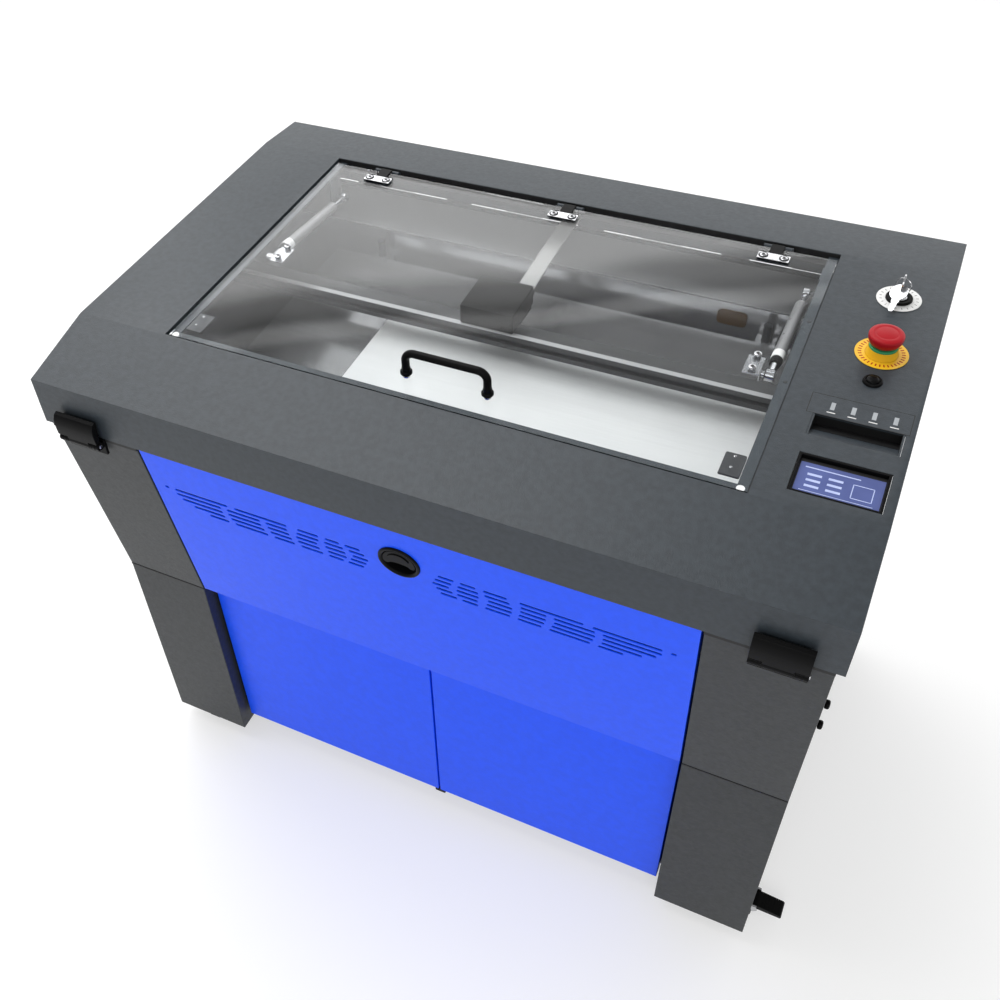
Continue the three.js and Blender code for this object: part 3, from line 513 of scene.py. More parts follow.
print("mesh tools ready")

# %% [markdown]
# ## Folded and moulded parts from the CAD
# Sheet metal is never sharp: a fold has a radius, and light runs along it. The
# edges could be faked in the shader, but a real bevel also shows in outline. A
# copy of each CAD part is merged, its flat faces are joined up again, and its
# sharp edges are rolled. The copy then stands in for the CAD part.

# %% Roll the edges of CAD parts
def rolled_copy(name, finish_name, width, segments=2):
    source = frame["nodes"][name]
    shape = bmesh.new()
    shape.from_mesh(source.data)
    bmesh.ops.scale(shape, verts=shape.verts, vec=(1 / MM,) * 3)
    bmesh.ops.remove_doubles(shape, verts=shape.verts, dist=0.004)
    bmesh.ops.dissolve_degenerate(shape, edges=shape.edges, dist=0.004)
    bmesh.ops.dissolve_limit(shape, angle_limit=radians(0.6), verts=shape.verts,
                             edges=shape.edges, use_dissolve_boundaries=False)
    rolled = round_edges(shape, width, segments)
    to_object(name + "_finished", shape, finish_name, source["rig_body"], replaces=(name,))
    return rolled


SHEET_PARTS = {
    "hood_shell": ("charcoal", 1.1), "upper_pillar_left": ("pillar", 1.0),
    "upper_pillar_right": ("pillar", 1.0), "lower_pillar_left": ("pillar", 1.0),
    "lower_pillar_right": ("pillar", 1.0), "side_panel_left": ("pillar", 0.8),
    "side_panel_right": ("pillar", 0.8), "rear_panel": ("pillar", 0.8),
    "door_left": ("blue", 1.2), "door_right": ("blue", 1.2),
    "status_panel": ("charcoal", 0.5), "screen_bezel": ("black", 0.5),
    "latch_base_left": ("black", 0.5), "latch_base_right": ("black", 0.5),
    "latch_keeper_left": ("black", 0.5), "latch_keeper_right": ("black", 0.5),
    "chamber_tub": ("bed", 0.6), "gantry_beam": ("beam", 0.8),
    "laser_head": ("black", 2.0), "work_table": ("bed", 0.8),
    "mains_inlet": ("black", 0.5), "electronics_box": ("steel", 0.8),
    "laser_source": ("aluminium", 0.6), "strut_bracket_left": ("steel", 0.4),
    "strut_bracket_right": ("steel", 0.4), "lid_hinge_1": ("black", 0.35),
    "lid_hinge_2": ("black", 0.35), "lid_hinge_3": ("black", 0.35),
}

for part, (coat, roll) in SHEET_PARTS.items():
    print(part, "edges rolled", rolled_copy(part, coat, roll))

# %% [markdown]
# Parts that hardly show keep their CAD mesh and only get a proper finish.

# %% Finish the parts that stay as they are
PLAIN_PARTS = {
    "base_pan": "dark_steel", "table_guide": "dark_steel", "y_rail_left": "steel",
    "y_rail_right": "steel", "hood_hinge": "dark_steel", "screen_panel": "shadow",
    "acrylic_lid": "clear",
}
for caster in ("front_left", "front_right", "rear_left", "rear_right"):
    PLAIN_PARTS["caster_fork_" + caster] = "steel"
for part, coat in PLAIN_PARTS.items():
    frame["nodes"][part].data.materials.clear()
    frame["nodes"][part].data.materials.append(FINISHES[coat])
# Light reaches the bay through the lid, so the clear sheet casts no shadow.
frame["nodes"]["acrylic_lid"].visible_shadow = False
print(len(PLAIN_PARTS), "parts only refinished")

# %% [markdown]
# ## Geometry Nodes for what repeats
# Slots, screws, ribs and label marks come in rows and rings. They could be
# copied by hand, but a small node tree keeps the rule: change one number and
# the whole row follows. Each tree is run once on a seed mesh, its result is
# kept as a plain mesh, and the modifier is thrown away.

# %% Tools for geometry trees
def new_tree(name, inputs):
    tree = bpy.data.node_groups.new(name, "GeometryNodeTree")
    tree.is_modifier = True
    tree.interface.new_socket("Geometry", in_out="INPUT", socket_type="NodeSocketGeometry")
    for label, kind, value in inputs:
        socket = tree.interface.new_socket(label, in_out="INPUT", socket_type="NodeSocket" + kind)
        if value is not None:
            socket.default_value = value
    tree.interface.new_socket("Geometry", in_out="OUTPUT", socket_type="NodeSocketGeometry")
    return tree, node(tree, "NodeGroupInput", (-1200, 0)), node(tree, "NodeGroupOutput", (1200, 0))


def grow(tree, seed_mesh, **settings):
    """Run a tree on a seed mesh and hand back its result as a plain mesh."""
    seed = bpy.data.objects.new("seed", seed_mesh)
    bpy.context.scene.collection.objects.link(seed)
    modifier = seed.modifiers.new("tree", "NODES")
    modifier.node_group = tree
    for item in tree.interface.items_tree:
        label = item.name.replace(" ", "_").lower()
        if item.in_out == "INPUT" and label in settings:
            modifier[item.identifier] = settings[label]
    ready = seed.evaluated_get(bpy.context.evaluated_depsgraph_get())
    grown = bpy.data.meshes.new_from_object(ready)
    seed.modifiers.clear()
    bpy.data.objects.remove(seed)
    return grown


def point_mesh(name, points, **vectors):
    """Loose points in millimetres, with any named vectors stored on them."""
    mesh = bpy.data.meshes.new(name)
    mesh.from_pydata([tuple(c * MM for c in p) for p in points], [], [])
    for label, values in vectors.items():
        stored = mesh.attributes.new(label, "FLOAT_VECTOR", "POINT")
        for i, value in enumerate(values):
            stored.data[i].vector = value
    return mesh

print("tree tools ready")

# %% [markdown]
# ### Screws
# A screw head is a short drum, a shallow dome and a near-black hexagon that paints the shade of
# the socket. The tree builds one head of unit size and stands it on every seed point, turned to
# the point's own aim. Two material inputs keep that hexagon dark.

# %% The screw tree
def screw_tree():
    tree, given, out = new_tree("screw_heads", [
        ("Head Radius", "Float", 0.004), ("Head Height", "Float", 0.0025),
        ("Finish", "Material", None), ("Socket Finish", "Material", None)])
    link = tree.links.new
    drum = node(tree, "GeometryNodeMeshCylinder", (-900, 300))
    put(drum, {"Vertices": 28, "Radius": 1.0, "Depth": 1.1})
    dome = node(tree, "GeometryNodeMeshUVSphere", (-900, 0))
    put(dome, {"Segments": 28, "Rings": 10})
    flat = node(tree, "GeometryNodeTransform", (-700, 0))
    put(flat, {"Translation": (0, 0, 0.55), "Scale": (1, 1, 0.45)})
    socket = node(tree, "GeometryNodeMeshCylinder", (-900, -300))
    put(socket, {"Vertices": 6, "Radius": 0.46, "Depth": 0.12})
    lift = node(tree, "GeometryNodeTransform", (-700, -300))
    put(lift, {"Translation": (0, 0, 0.96)})
    mark = node(tree, "GeometryNodeStoreNamedAttribute", (-500, -300), data_type="BOOLEAN",
                domain="FACE")
    put(mark, {"Name": "socket", "Value": True})
    head = node(tree, "GeometryNodeJoinGeometry", (-300, 0))
    aim = node(tree, "GeometryNodeInputNamedAttribute", (-700, -600), data_type="FLOAT_VECTOR")
    put(aim, {"Name": "aim"})
    turn = node(tree, "FunctionNodeAlignRotationToVector", (-400, -600), axis="Z")
    size = node(tree, "ShaderNodeCombineXYZ", (-400, -800))
    stand = node(tree, "GeometryNodeInstanceOnPoints", (0, 0))
    real = node(tree, "GeometryNodeRealizeInstances", (200, 0))
    coat = node(tree, "GeometryNodeSetMaterial", (400, 0))
    is_socket = node(tree, "GeometryNodeInputNamedAttribute", (400, -300), data_type="BOOLEAN")
    put(is_socket, {"Name": "socket"})
    # Painted shade: the hexagon that stands for the socket hole is made near-black.
    dark = node(tree, "GeometryNodeSetMaterial", (700, 0))
    link(dome.outputs["Mesh"], flat.inputs["Geometry"])
    link(socket.outputs["Mesh"], lift.inputs["Geometry"])
    link(lift.outputs["Geometry"], mark.inputs["Geometry"])
    for part in (drum.outputs["Mesh"], flat.outputs["Geometry"], mark.outputs["Geometry"]):
        link(part, head.inputs["Geometry"])
    link(aim.outputs["Attribute"], turn.inputs["Vector"])
    link(given.outputs["Head Radius"], size.inputs["X"])
    link(given.outputs["Head Radius"], size.inputs["Y"])
    link(given.outputs["Head Height"], size.inputs["Z"])
    link(given.outputs["Geometry"], stand.inputs["Points"])
    link(head.outputs["Geometry"], stand.inputs["Instance"])
    link(turn.outputs["Rotation"], stand.inputs["Rotation"])
    link(size.outputs["Vector"], stand.inputs["Scale"])
    link(stand.outputs["Instances"], real.inputs["Geometry"])
    link(real.outputs["Geometry"], coat.inputs["Geometry"])
    link(given.outputs["Finish"], coat.inputs["Material"])
    link(coat.outputs["Geometry"], dark.inputs["Geometry"])
    link(is_socket.outputs["Attribute"], dark.inputs["Selection"])
    link(given.outputs["Socket Finish"], dark.inputs["Material"])
    link(dark.outputs["Geometry"], out.inputs["Geometry"])
    return tree


SCREWS = screw_tree()


def screws(name, body, points, aim, radius, height, coat="steel"):
    seeds = point_mesh(name + "_seeds", points, aim=[aim] * len(points))
    grown = grow(SCREWS, seeds, head_radius=radius * MM, head_height=height * MM,
                 finish=FINISHES[coat], socket_finish=FINISHES["shadow"])
    grown.name = name
    print(name, len(points), "screws", len(grown.polygons), "faces")
    return settle(name, grown, coat, body)


UP, LEFT, RIGHT, BACK = (0, 0, 1), (-1, 0, 0), (1, 0, 0), (0, 1, 0)
HINGE_X = (-290, 0, 290)
screws("hinge_screws", "lid", [(x + s * 13.3, 210.5, 842.2) for x in HINGE_X for s in (-1, 1)],
       UP, 4.6, 1.6)
STRUT_X = {"left": -348.5, "right": 340.5}
screws("bracket_screws", "lid",
       [(STRUT_X[s] + (20 if s == "left" else -20), y, 839.6) for s in STRUT_X for y in (-17, 9)],
       UP, 4.6, 2.4)
screws("rear_panel_screws", "cabinet",
       [(x, 337, z) for x in (-480, -160, 160, 480) for z in (52, 230, 690)]
       + [(x, 337, 450) for x in (-480, 480)], BACK, 4.2, 2.4, "dark_steel")
for name, x, aim in (("left_panel_screws", -501, LEFT), ("right_panel_screws", 501, RIGHT)):
    screws(name, "cabinet",
           [(x, y, z) for y in (-270, 20, 315) for z in (60, 715)] + [(x, 315, 400)],
           aim, 4.2, 2.4, "dark_steel")
SPIGOT_X, SPIGOT_Z, FLANGE_R = -250, 640, 62
quarters = [pi / 4 + i * pi / 2 for i in range(4)]
screws("spigot_screws", "cabinet",
       [(SPIGOT_X + FLANGE_R * cos(a), 337, SPIGOT_Z + FLANGE_R * sin(a)) for a in quarters],
       BACK, 3.2, 2.0, "steel")

# %% [markdown]
# ### Ribs and ring marks
# Ribs in a straight row grip the brake pedals. Marks round a ring stand for the
# numbers and arrows of a label without spelling anything. Both trees put a plain
# block on each point of a simple mesh, so they share their last four nodes.

# %% The rib and mark trees
def block_row(tree, given, out, points, turn=None):
    link = tree.links.new
    block = node(tree, "GeometryNodeMeshCube", (-300, -300))
    stand = node(tree, "GeometryNodeInstanceOnPoints", (0, 0))
    real = node(tree, "GeometryNodeRealizeInstances", (300, 0))
    coat = node(tree, "GeometryNodeSetMaterial", (600, 0))
    link(points, stand.inputs["Points"])
    link(block.outputs["Mesh"], stand.inputs["Instance"])
    link(given.outputs["Block Size"], stand.inputs["Scale"])
    if turn is not None:
        link(turn, stand.inputs["Rotation"])
    link(stand.outputs["Instances"], real.inputs["Geometry"])
    link(real.outputs["Geometry"], coat.inputs["Geometry"])
    link(given.outputs["Finish"], coat.inputs["Material"])
    link(coat.outputs["Geometry"], out.inputs["Geometry"])


def rib_tree():
    tree, given, out = new_tree("ribs_in_a_row", [
        ("Count", "Int", 6), ("First", "Vector", (0, 0, 0)), ("Step", "Vector", (0.004, 0, 0)),
        ("Block Size", "Vector", (0.002, 0.02, 0.001)), ("Finish", "Material", None)])
    line = node(tree, "GeometryNodeMeshLine", (-600, 0))
    tree.links.new(given.outputs["Count"], line.inputs["Count"])
    tree.links.new(given.outputs["First"], line.inputs["Start Location"])
    tree.links.new(given.outputs["Step"], line.inputs["Offset"])
    block_row(tree, given, out, line.outputs["Mesh"])
    return tree


def mark_tree():
    tree, given, out = new_tree("marks_round_a_ring", [
        ("Count", "Int", 12), ("Ring Radius", "Float", 0.02), ("Centre", "Vector", (0, 0, 0)),
        ("Block Size", "Vector", (0.003, 0.001, 0.0002)), ("Finish", "Material", None)])
    link = tree.links.new
    ring = node(tree, "GeometryNodeMeshCircle", (-900, 0))
    place = node(tree, "GeometryNodeTransform", (-500, 0))
    spot = node(tree, "GeometryNodeInputPosition", (-900, -400))
    outward = node(tree, "ShaderNodeVectorMath", (-700, -400), operation="SUBTRACT")
    turn = node(tree, "FunctionNodeAlignRotationToVector", (-400, -400), axis="X")
    link(given.outputs["Count"], ring.inputs["Vertices"])
    link(given.outputs["Ring Radius"], ring.inputs["Radius"])
    link(ring.outputs["Mesh"], place.inputs["Geometry"])
    link(given.outputs["Centre"], place.inputs["Translation"])
    link(spot.outputs["Position"], outward.inputs[0])
    link(given.outputs["Centre"], outward.inputs[1])
    link(outward.outputs["Vector"], turn.inputs["Vector"])
    block_row(tree, given, out, place.outputs["Geometry"], turn.outputs["Rotation"])
    return tree


RIBS = rib_tree()
MARKS = mark_tree()


def empty_seed():
    return bpy.data.meshes.new("empty_seed")


def ribs(name, body, count, first, step, size, coat):
    grown = grow(RIBS, empty_seed(), count=count, first=[c * MM for c in first],
                 step=[c * MM for c in step], block_size=[c * MM for c in size],
                 finish=FINISHES[coat])
    grown.name = name
    return settle(name, grown, coat, body)


def ring_marks(name, body, count, radius, centre, size, coat):
    grown = grow(MARKS, empty_seed(), count=count, ring_radius=radius * MM,
                 centre=[c * MM for c in centre], block_size=[c * MM for c in size],
                 finish=FINISHES[coat])
    grown.name = name
    return settle(name, grown, coat, body)

print("rib and mark trees ready")

# %% [markdown]
# ### The slotted front panel
# The blue panel is one folded sheet with five rows of vent slots, the shape of
# two wings. Cutting fifty slots with booleans is slow and leaves poor faces. The
# tree draws the panel as flat curves instead: an outline, a round latch hole and
# one rounded slot for each seed point. Filling the curves gives a sheet with
# holes, and extruding it gives the thickness.

# %% The panel tree
PANEL = {"half": 364, "long": 329, "foot": 416.5, "fold": 16, "latch_at": 263, "latch_r": 25.6}
SLOT_ROWS = [
    [(53, 74), (82, 102), (112, 142), (158, 236), (247, 328)],
    [(48, 70), (78, 105), (113, 145), (159, 191), (200, 250), (259, 328)],
    [(44, 66), (76, 105), (117, 148), (158, 190), (200, 250), (259, 322)],
    [(48, 70), (76, 103), (115, 147), (156, 188), (197, 248), (258, 306)],
    [(53, 75), (82, 103), (112, 144), (154, 184), (194, 244), (254, 284)],
]
SLOT_TOP, SLOT_PITCH, SLOT_HIGH = 259, 9.2, 4.0


def sheet_tree():
    tree, given, out = new_tree("slotted_sheet", [
        ("Slot Height", "Float", 0.004), ("Sheet Width", "Float", 0.7),
        ("Sheet Length", "Float", 0.3), ("Sheet Thickness", "Float", 0.002),
        ("Hole Radius", "Float", 0.025), ("Hole At", "Float", 0.26),
        ("Finish", "Material", None)])
    link = tree.links.new
    unit = node(tree, "GeometryNodeCurvePrimitiveQuadrilateral", (-900, 300))
    put(unit, {"Width": 1.0, "Height": 1.0})
    span = node(tree, "GeometryNodeInputNamedAttribute", (-900, 100), data_type="FLOAT_VECTOR")
    put(span, {"Name": "slot_span"})
    stand = node(tree, "GeometryNodeInstanceOnPoints", (-600, 300))
    real = node(tree, "GeometryNodeRealizeInstances", (-400, 300))
    half = node(tree, "ShaderNodeMath", (-600, 100), operation="MULTIPLY")
    put(half, {1: 0.49})
    ends = node(tree, "GeometryNodeFilletCurve", (-200, 300), mode="POLY")
    edge = node(tree, "GeometryNodeCurvePrimitiveQuadrilateral", (-900, -200))
    middle = node(tree, "ShaderNodeMath", (-900, -400), operation="MULTIPLY")
    put(middle, {1: 0.5})
    up = node(tree, "ShaderNodeCombineXYZ", (-700, -400))
    raised = node(tree, "GeometryNodeTransform", (-500, -200))
    hole = node(tree, "GeometryNodeCurvePrimitiveCircle", (-900, -600))
    put(hole, {"Resolution": 72})
    hole_up = node(tree, "ShaderNodeCombineXYZ", (-700, -700))
    hole_at = node(tree, "GeometryNodeTransform", (-500, -600))
    curves = node(tree, "GeometryNodeJoinGeometry", (0, 0))
    fill = node(tree, "GeometryNodeFillCurve", (200, 0), mode="TRIANGLES")
    pull = node(tree, "GeometryNodeExtrudeMesh", (400, 100))
    put(pull, {"Individual": False})
    flip = node(tree, "GeometryNodeFlipFaces", (400, -150))
    both = node(tree, "GeometryNodeJoinGeometry", (600, 0))
    weld = node(tree, "GeometryNodeMergeByDistance", (750, 0))
    put(weld, {"Distance": 0.00001})
    real_sheet = node(tree, "GeometryNodeRealizeInstances", (880, 0))
    coat = node(tree, "GeometryNodeSetMaterial", (1020, 0))
    put(ends, {"Count": 8})
    link(given.outputs["Geometry"], stand.inputs["Points"])
    link(unit.outputs["Curve"], stand.inputs["Instance"])
    link(span.outputs["Attribute"], stand.inputs["Scale"])
    link(stand.outputs["Instances"], real.inputs["Geometry"])
    link(given.outputs["Slot Height"], half.inputs[0])
    link(real.outputs["Geometry"], ends.inputs["Curve"])
    link(half.outputs[0], ends.inputs["Radius"])
    link(given.outputs["Sheet Width"], edge.inputs["Width"])
    link(given.outputs["Sheet Length"], edge.inputs["Height"])
    link(given.outputs["Sheet Length"], middle.inputs[0])
    link(middle.outputs[0], up.inputs["Y"])
    link(edge.outputs["Curve"], raised.inputs["Geometry"])
    link(up.outputs["Vector"], raised.inputs["Translation"])
    link(given.outputs["Hole Radius"], hole.inputs["Radius"])
    link(given.outputs["Hole At"], hole_up.inputs["Y"])
    link(hole.outputs["Curve"], hole_at.inputs["Geometry"])
    link(hole_up.outputs["Vector"], hole_at.inputs["Translation"])
    for part in (ends.outputs["Curve"], raised.outputs["Geometry"], hole_at.outputs["Geometry"]):
        link(part, curves.inputs["Geometry"])
    link(curves.outputs["Geometry"], fill.inputs["Curve"])
    link(fill.outputs["Mesh"], pull.inputs["Mesh"])
    link(given.outputs["Sheet Thickness"], pull.inputs["Offset Scale"])
    link(fill.outputs["Mesh"], flip.inputs["Mesh"])
    link(pull.outputs["Mesh"], both.inputs["Geometry"])
    link(flip.outputs["Mesh"], both.inputs["Geometry"])
    link(both.outputs["Geometry"], weld.inputs["Geometry"])
    link(weld.outputs["Geometry"], real_sheet.inputs["Geometry"])
    link(real_sheet.outputs["Geometry"], coat.inputs["Geometry"])
    link(given.outputs["Finish"], coat.inputs["Material"])
    link(coat.outputs["Geometry"], out.inputs["Geometry"])
    return tree


SHEET = sheet_tree()
print("panel tree nodes", len(SHEET.nodes))

# %% [markdown]
# The grown sheet lies flat. Its folded rim is added, its edges are rolled, and
# the whole is stood up and leaned forward as the CAD panel is: the lean is the
# slope of the cabinet's front, about 7.6 degrees.

# %% Make the front panel
LEAN = 0.13255
PANEL_FOOT = (0, -293.333, 416.5)
LEANED = Matrix.Translation(PANEL_FOOT) @ Matrix.Rotation(LEAN, 4, "X")


def front_panel():
    seeds, spans = [], []
    for row, blocks in enumerate(SLOT_ROWS):
        for near, far in blocks:
            for side in (-1, 1):
                seeds.append((side * (near + far) / 2 - 2, SLOT_TOP - row * SLOT_PITCH, 0))
                spans.append(((far - near) * MM, SLOT_HIGH * MM, 1))
    for side in (-1, 1):
        seeds.append((side * 341 - 2, SLOT_TOP, 0))
        spans.append((6 * MM, SLOT_HIGH * MM, 1))
    grown = grow(SHEET, point_mesh("slot_seeds", seeds, slot_span=spans),
                 slot_height=SLOT_HIGH * MM, sheet_width=2 * PANEL["half"] * MM,
                 sheet_length=PANEL["long"] * MM, sheet_thickness=2 * MM,
                 hole_radius=PANEL["latch_r"] * MM, hole_at=PANEL["latch_at"] * MM,
                 finish=FINISHES["blue"])
    shape = bmesh.new()
    shape.from_mesh(grown)
    bmesh.ops.scale(shape, verts=shape.verts, vec=(1 / MM,) * 3)
    stand_up = Matrix(((1, 0, 0, 0), (0, 0, -1, 2), (0, 1, 0, 0), (0, 0, 0, 1)))
    bmesh.ops.transform(shape, verts=shape.verts, matrix=stand_up)
    print("slots", len(seeds), "sheet depth", round(max(v.co.y for v in shape.verts), 2))
    bmesh.ops.remove_doubles(shape, verts=shape.verts, dist=0.005)
    round_edges(shape, 0.45, 1)
    half, long, fold = PANEL["half"], PANEL["long"], PANEL["fold"]
    for x0, x1, z0, z1 in ((-half, -half + 2, 0, long), (half - 2, half, 0, long),
                           (-half + 2, half - 2, 0, 2), (-half + 2, half - 2, long - 2, long)):
        add_box(shape, x0, x1, 1.2, fold, z0, z1)
    bmesh.ops.transform(shape, verts=shape.verts, matrix=LEANED)
    return to_object("front_panel_finished", shape, "blue", "front_panel",
                     replaces=("front_panel",))


made = front_panel()
print("front panel faces", len(made.data.polygons))

# %% [markdown]
# ## Turned and bent parts
# Knobs, rings, wheels and struts are round, so each is a profile spun about its
# axis: the profile is the whole design. Bars and rings that bend are a circle
# carried along a path of points, kept square to it at every step.

# %% Bend a round bar along a path
def add_bar(shape, points, radius, steps=14, closed=False, index=0):
    path = [Vector(p) for p in points]
    count = len(path)
    rings = []
    side = None
    for i, spot in enumerate(path):
        ahead = path[(i + 1) % count] if closed or i + 1 < count else spot
        behind = path[i - 1] if closed or i else spot
        along = (ahead - behind).normalized()
        if side is None:
            side = along.orthogonal().normalized()
        side = (side - along * side.dot(along)).normalized()
        other = along.cross(side)
        ring = []
        for j in range(steps):
            a = 2 * pi * j / steps
            ring.append(shape.verts.new(spot + radius * (cos(a) * side + sin(a) * other)))
        rings.append(ring)
    pairs = list(zip(rings, rings[1:])) + ([(rings[-1], rings[0])] if closed else [])
    faces = []
    for low, high in pairs:
        for j in range(steps):
            k = (j + 1) % steps
            faces.append(shape.faces.new((low[j], low[k], high[k], high[j])))
    if not closed:
        faces += [shape.faces.new(rings[0]), shape.faces.new(rings[-1])]
    for face in faces:
        face.material_index = index


def arc(centre, radius, start, stop, count, plane="xz"):
    """Points on an arc, angles in degrees, in the xz, xy or yz plane."""
    points = []
    for i in range(count):
        a = radians(start + (stop - start) * i / (count - 1))
        u, v = radius * cos(a), radius * sin(a)
        offset = {"xz": (u, 0, v), "xy": (u, v, 0), "yz": (0, u, v)}[plane]
        points.append(tuple(c + o for c, o in zip(centre, offset)))
    return points

print("bar tool ready")

# %% [markdown]
# ### The lid handle
# A bent bar with a ferrule at each foot. The bends are true quarter circles, and
# the bar ends inside the ferrules.

# %% Make the lid handle
def lid_handle():
    half, y, foot, top, bend = 53, -177, 840.1, 871.8, 12
    path = [(-half, y, foot + 1), (-half, y, top - bend - 6)]
    path += arc((-half + bend, y, top - bend), bend, 180, 90, 9)
    path += arc((half - bend, y, top - bend), bend, 90, 0, 9)
    path += [(half, y, top - bend - 6), (half, y, foot + 1)]
    shape = bmesh.new()
    add_bar(shape, path, 5.0, 20)
    for x in (-half, half):
        add_turned(shape, [(0, 0), (7.5, 0), (7.5, 3.2), (6.6, 4.2), (5.0, 4.4)], (x, y, foot))
        add_turned(shape, [(5.0, 0), (5.5, 0.4), (5.5, 2.6), (5.0, 3)], (x, y, foot + 6))
    return to_object("lid_handle_finished", shape, "black", "lid", replaces=("lid_handle",))


print("handle", lid_handle().name)
screws("handle_screws", "lid", [(x, -177, 834.3) for x in (-53, 53)], (0, 0, -1), 4.6, 2.2)

# %% [markdown]
# ### The emergency stop
# A yellow label disc, an amber collar, and a red mushroom cap with a green band
# under it that sinks into the collar when the cap is pressed. The label's
# wording is left out: red marks go round it instead.

# %% Make the emergency stop
CONTROL_X, BUTTON_Y, ESTOP_Y, KEY_Y = 451, 6, 61, 176


def label_disc(shape, at, radius, bore):
    """A thin moulded ring label on top of the hood."""
    add_turned(shape, [(0, 840.3), (radius - 0.2, 840.3), (radius, 840.5), (radius, 840.9),
                       (radius - 0.2, 841.1), (bore, 841.1)], at, steps=72)


def estop():
    at = (CONTROL_X, ESTOP_Y, 0)
    base = bmesh.new()
    label_disc(base, at, 30.2, 19)
    collar = [(18.6, 841.1), (18.4, 842), (17.6, 847), (17.2, 850.4), (17.0, 851.2),
              (16.6, 851.2), (16.6, 842)]
    add_turned(base, collar, at, steps=64)
    to_object("estop_base_finished", base, "yellow", "hood", replaces=("estop_base",))
    cap = bmesh.new()
    add_turned(cap, [(12.5, 850.8), (16.2, 850.8), (16.2, 853.4), (15.6, 853.8), (12.5, 853.8)],
               at, steps=64, index=1)
    add_turned(cap, [(0, 847.6), (12.4, 847.6), (12.6, 847.8), (12.6, 855.0), (14.6, 855.7),
                     (17.4, 857.8), (19.1, 861.0), (19.8, 864.0), (20.0, 866.6), (19.8, 868.0),
                     (19.2, 869.0), (18.0, 869.7), (15.6, 870.3), (13.4, 870.6), (12.6, 870.2),
                     (11.8, 870.4), (6, 871.2), (0, 871.5)], at, steps=72)
    return to_object("estop_button_finished", cap, ("red", "green"), "estop_button", angle=60,
                     replaces=("estop_button",))


print("stop button", estop().name)
ring_marks("estop_label_marks", "hood", 34, 24.6, (CONTROL_X, ESTOP_Y, 841.12),
           (4.2, 1.5, 0.16), "red")

# %% [markdown]
# ### The key switch
# A white ring label with a scale of marks, a black collar, a bright lock face
# with a slot, a flat key and a spare hanging from a split ring. Everything on
# the ring turns with the key.

# %% Make the key switch and keys
def key_switch():
    at = (CONTROL_X, KEY_Y, 0)
    shape = bmesh.new()
    label_disc(shape, at, 26.5, 15)
    add_turned(shape, [(16.0, 841.0), (15.8, 843.2), (14.6, 844.3), (11.2, 844.3), (10.2, 843.4),
                       (9.6, 841.3), (0, 841.2)], at, steps=64, index=1)
    return to_object("key_switch_finished", shape, ("white", "black"), "hood",
                     replaces=("key_switch",))


def key_outline(length):
    """A flat key in [across, along]: a round bow, a shoulder and a toothed blade."""
    bow = [(10.5 * cos(radians(a)), length + 10.5 * sin(radians(a))) for a in range(-62, 243, 12)]
    left = [(-4.2, length - 10.5), (-4.2, length - 14), (-3.2, length - 14.5)]
    teeth = [(-3.2, 6), (-2.2, 4.5), (-3.2, 3), (-1.6, 0), (1.6, 0), (3.2, 2)]
    right = [(3.2, length - 14.5), (4.2, length - 14), (4.2, length - 10.5)]
    return bow + left + teeth + right


def flat_key(shape, length, matrix, thick=2.0):
    outline = key_outline(length)
    verts = add_prism(shape, outline, -thick / 2, thick / 2)
    bmesh.ops.transform(shape, verts=verts, matrix=matrix)
    return verts


def keys():
    shape = bmesh.new()
    add_turned(shape, [(0, 841.6), (8.8, 841.6), (9.0, 841.9), (9.0, 844.4), (8.4, 845.0),
                       (4.6, 845.2), (0, 845.2)], (CONTROL_X, KEY_Y, 0), steps=48)
    flat_key(shape, 26, Matrix.Translation((CONTROL_X, KEY_Y, 838)))
    ring = (Matrix.Translation((CONTROL_X + 1, KEY_Y - 1, 861.5))
            @ Matrix.Rotation(radians(70), 4, "Z"))
    loop = [tuple(ring @ Vector((0, 9.5 * cos(a), 9.5 * sin(a))))
            for a in (2 * pi * i / 40 for i in range(40))]
    add_bar(shape, loop, 0.75, 8, closed=True)
    hang = (Matrix.Translation((CONTROL_X - 5, KEY_Y - 33, 843.2))
            @ Matrix.Rotation(radians(-8), 4, "Z") @ Matrix.Rotation(radians(-62), 4, "X")
            @ Matrix.Rotation(radians(75), 4, "Z"))
    flat_key(shape, 27, hang)
    round_edges(shape, 0.25, 1, 50)
    return to_object("keys_finished", shape, "steel", "key", replaces=("key",))


key_switch()
print("keys", keys().name)
ring_marks("key_label_marks", "hood", 20, 21.6, (CONTROL_X, KEY_Y, 841.12),
           (3.0, 0.6, 0.14), "black")

# %% [markdown]
# ### Button, label lights and display
# The small button is a black dome in a black bezel. The label plate has four
# pale light bars and no words. The display keeps a deep black frame: its glass
# shows a plain menu of bars and boxes.

# %% Make the small controls
def small_button():
    at = (CONTROL_X, BUTTON_Y, 0)
    bezel = bmesh.new()
    add_turned(bezel, [(7.8, 839), (7.8, 842.2), (8.4, 842.9), (10.2, 842.6), (11.0, 841.4),
                       (11.2, 840.2), (7.8, 840.1)], at, steps=56)
    to_object("start_button_bezel", bezel, "black", "hood")
    dome = bmesh.new()
    add_turned(dome, [(0, 834), (7.2, 834), (7.4, 834.2), (7.4, 842.6), (6.9, 843.8), (5.6, 844.8),
                      (3.6, 845.4), (0, 845.6)], at, steps=48)
    return to_object("start_button_finished", dome, "black", "start_button", angle=50,
                     replaces=("start_button",))


LIGHT_X = (419.5, 442.0, 464.4, 486.9)


def light_bars():
    shape = bmesh.new()
    for x in LIGHT_X:
        add_box(shape, x - 2.4, x + 2.4, -59.5, -46.5, 839.9, 840.35)
    round_edges(shape, 0.2, 1, mark=False)
    return to_object("status_light_bars", shape, "light_bar", "hood")


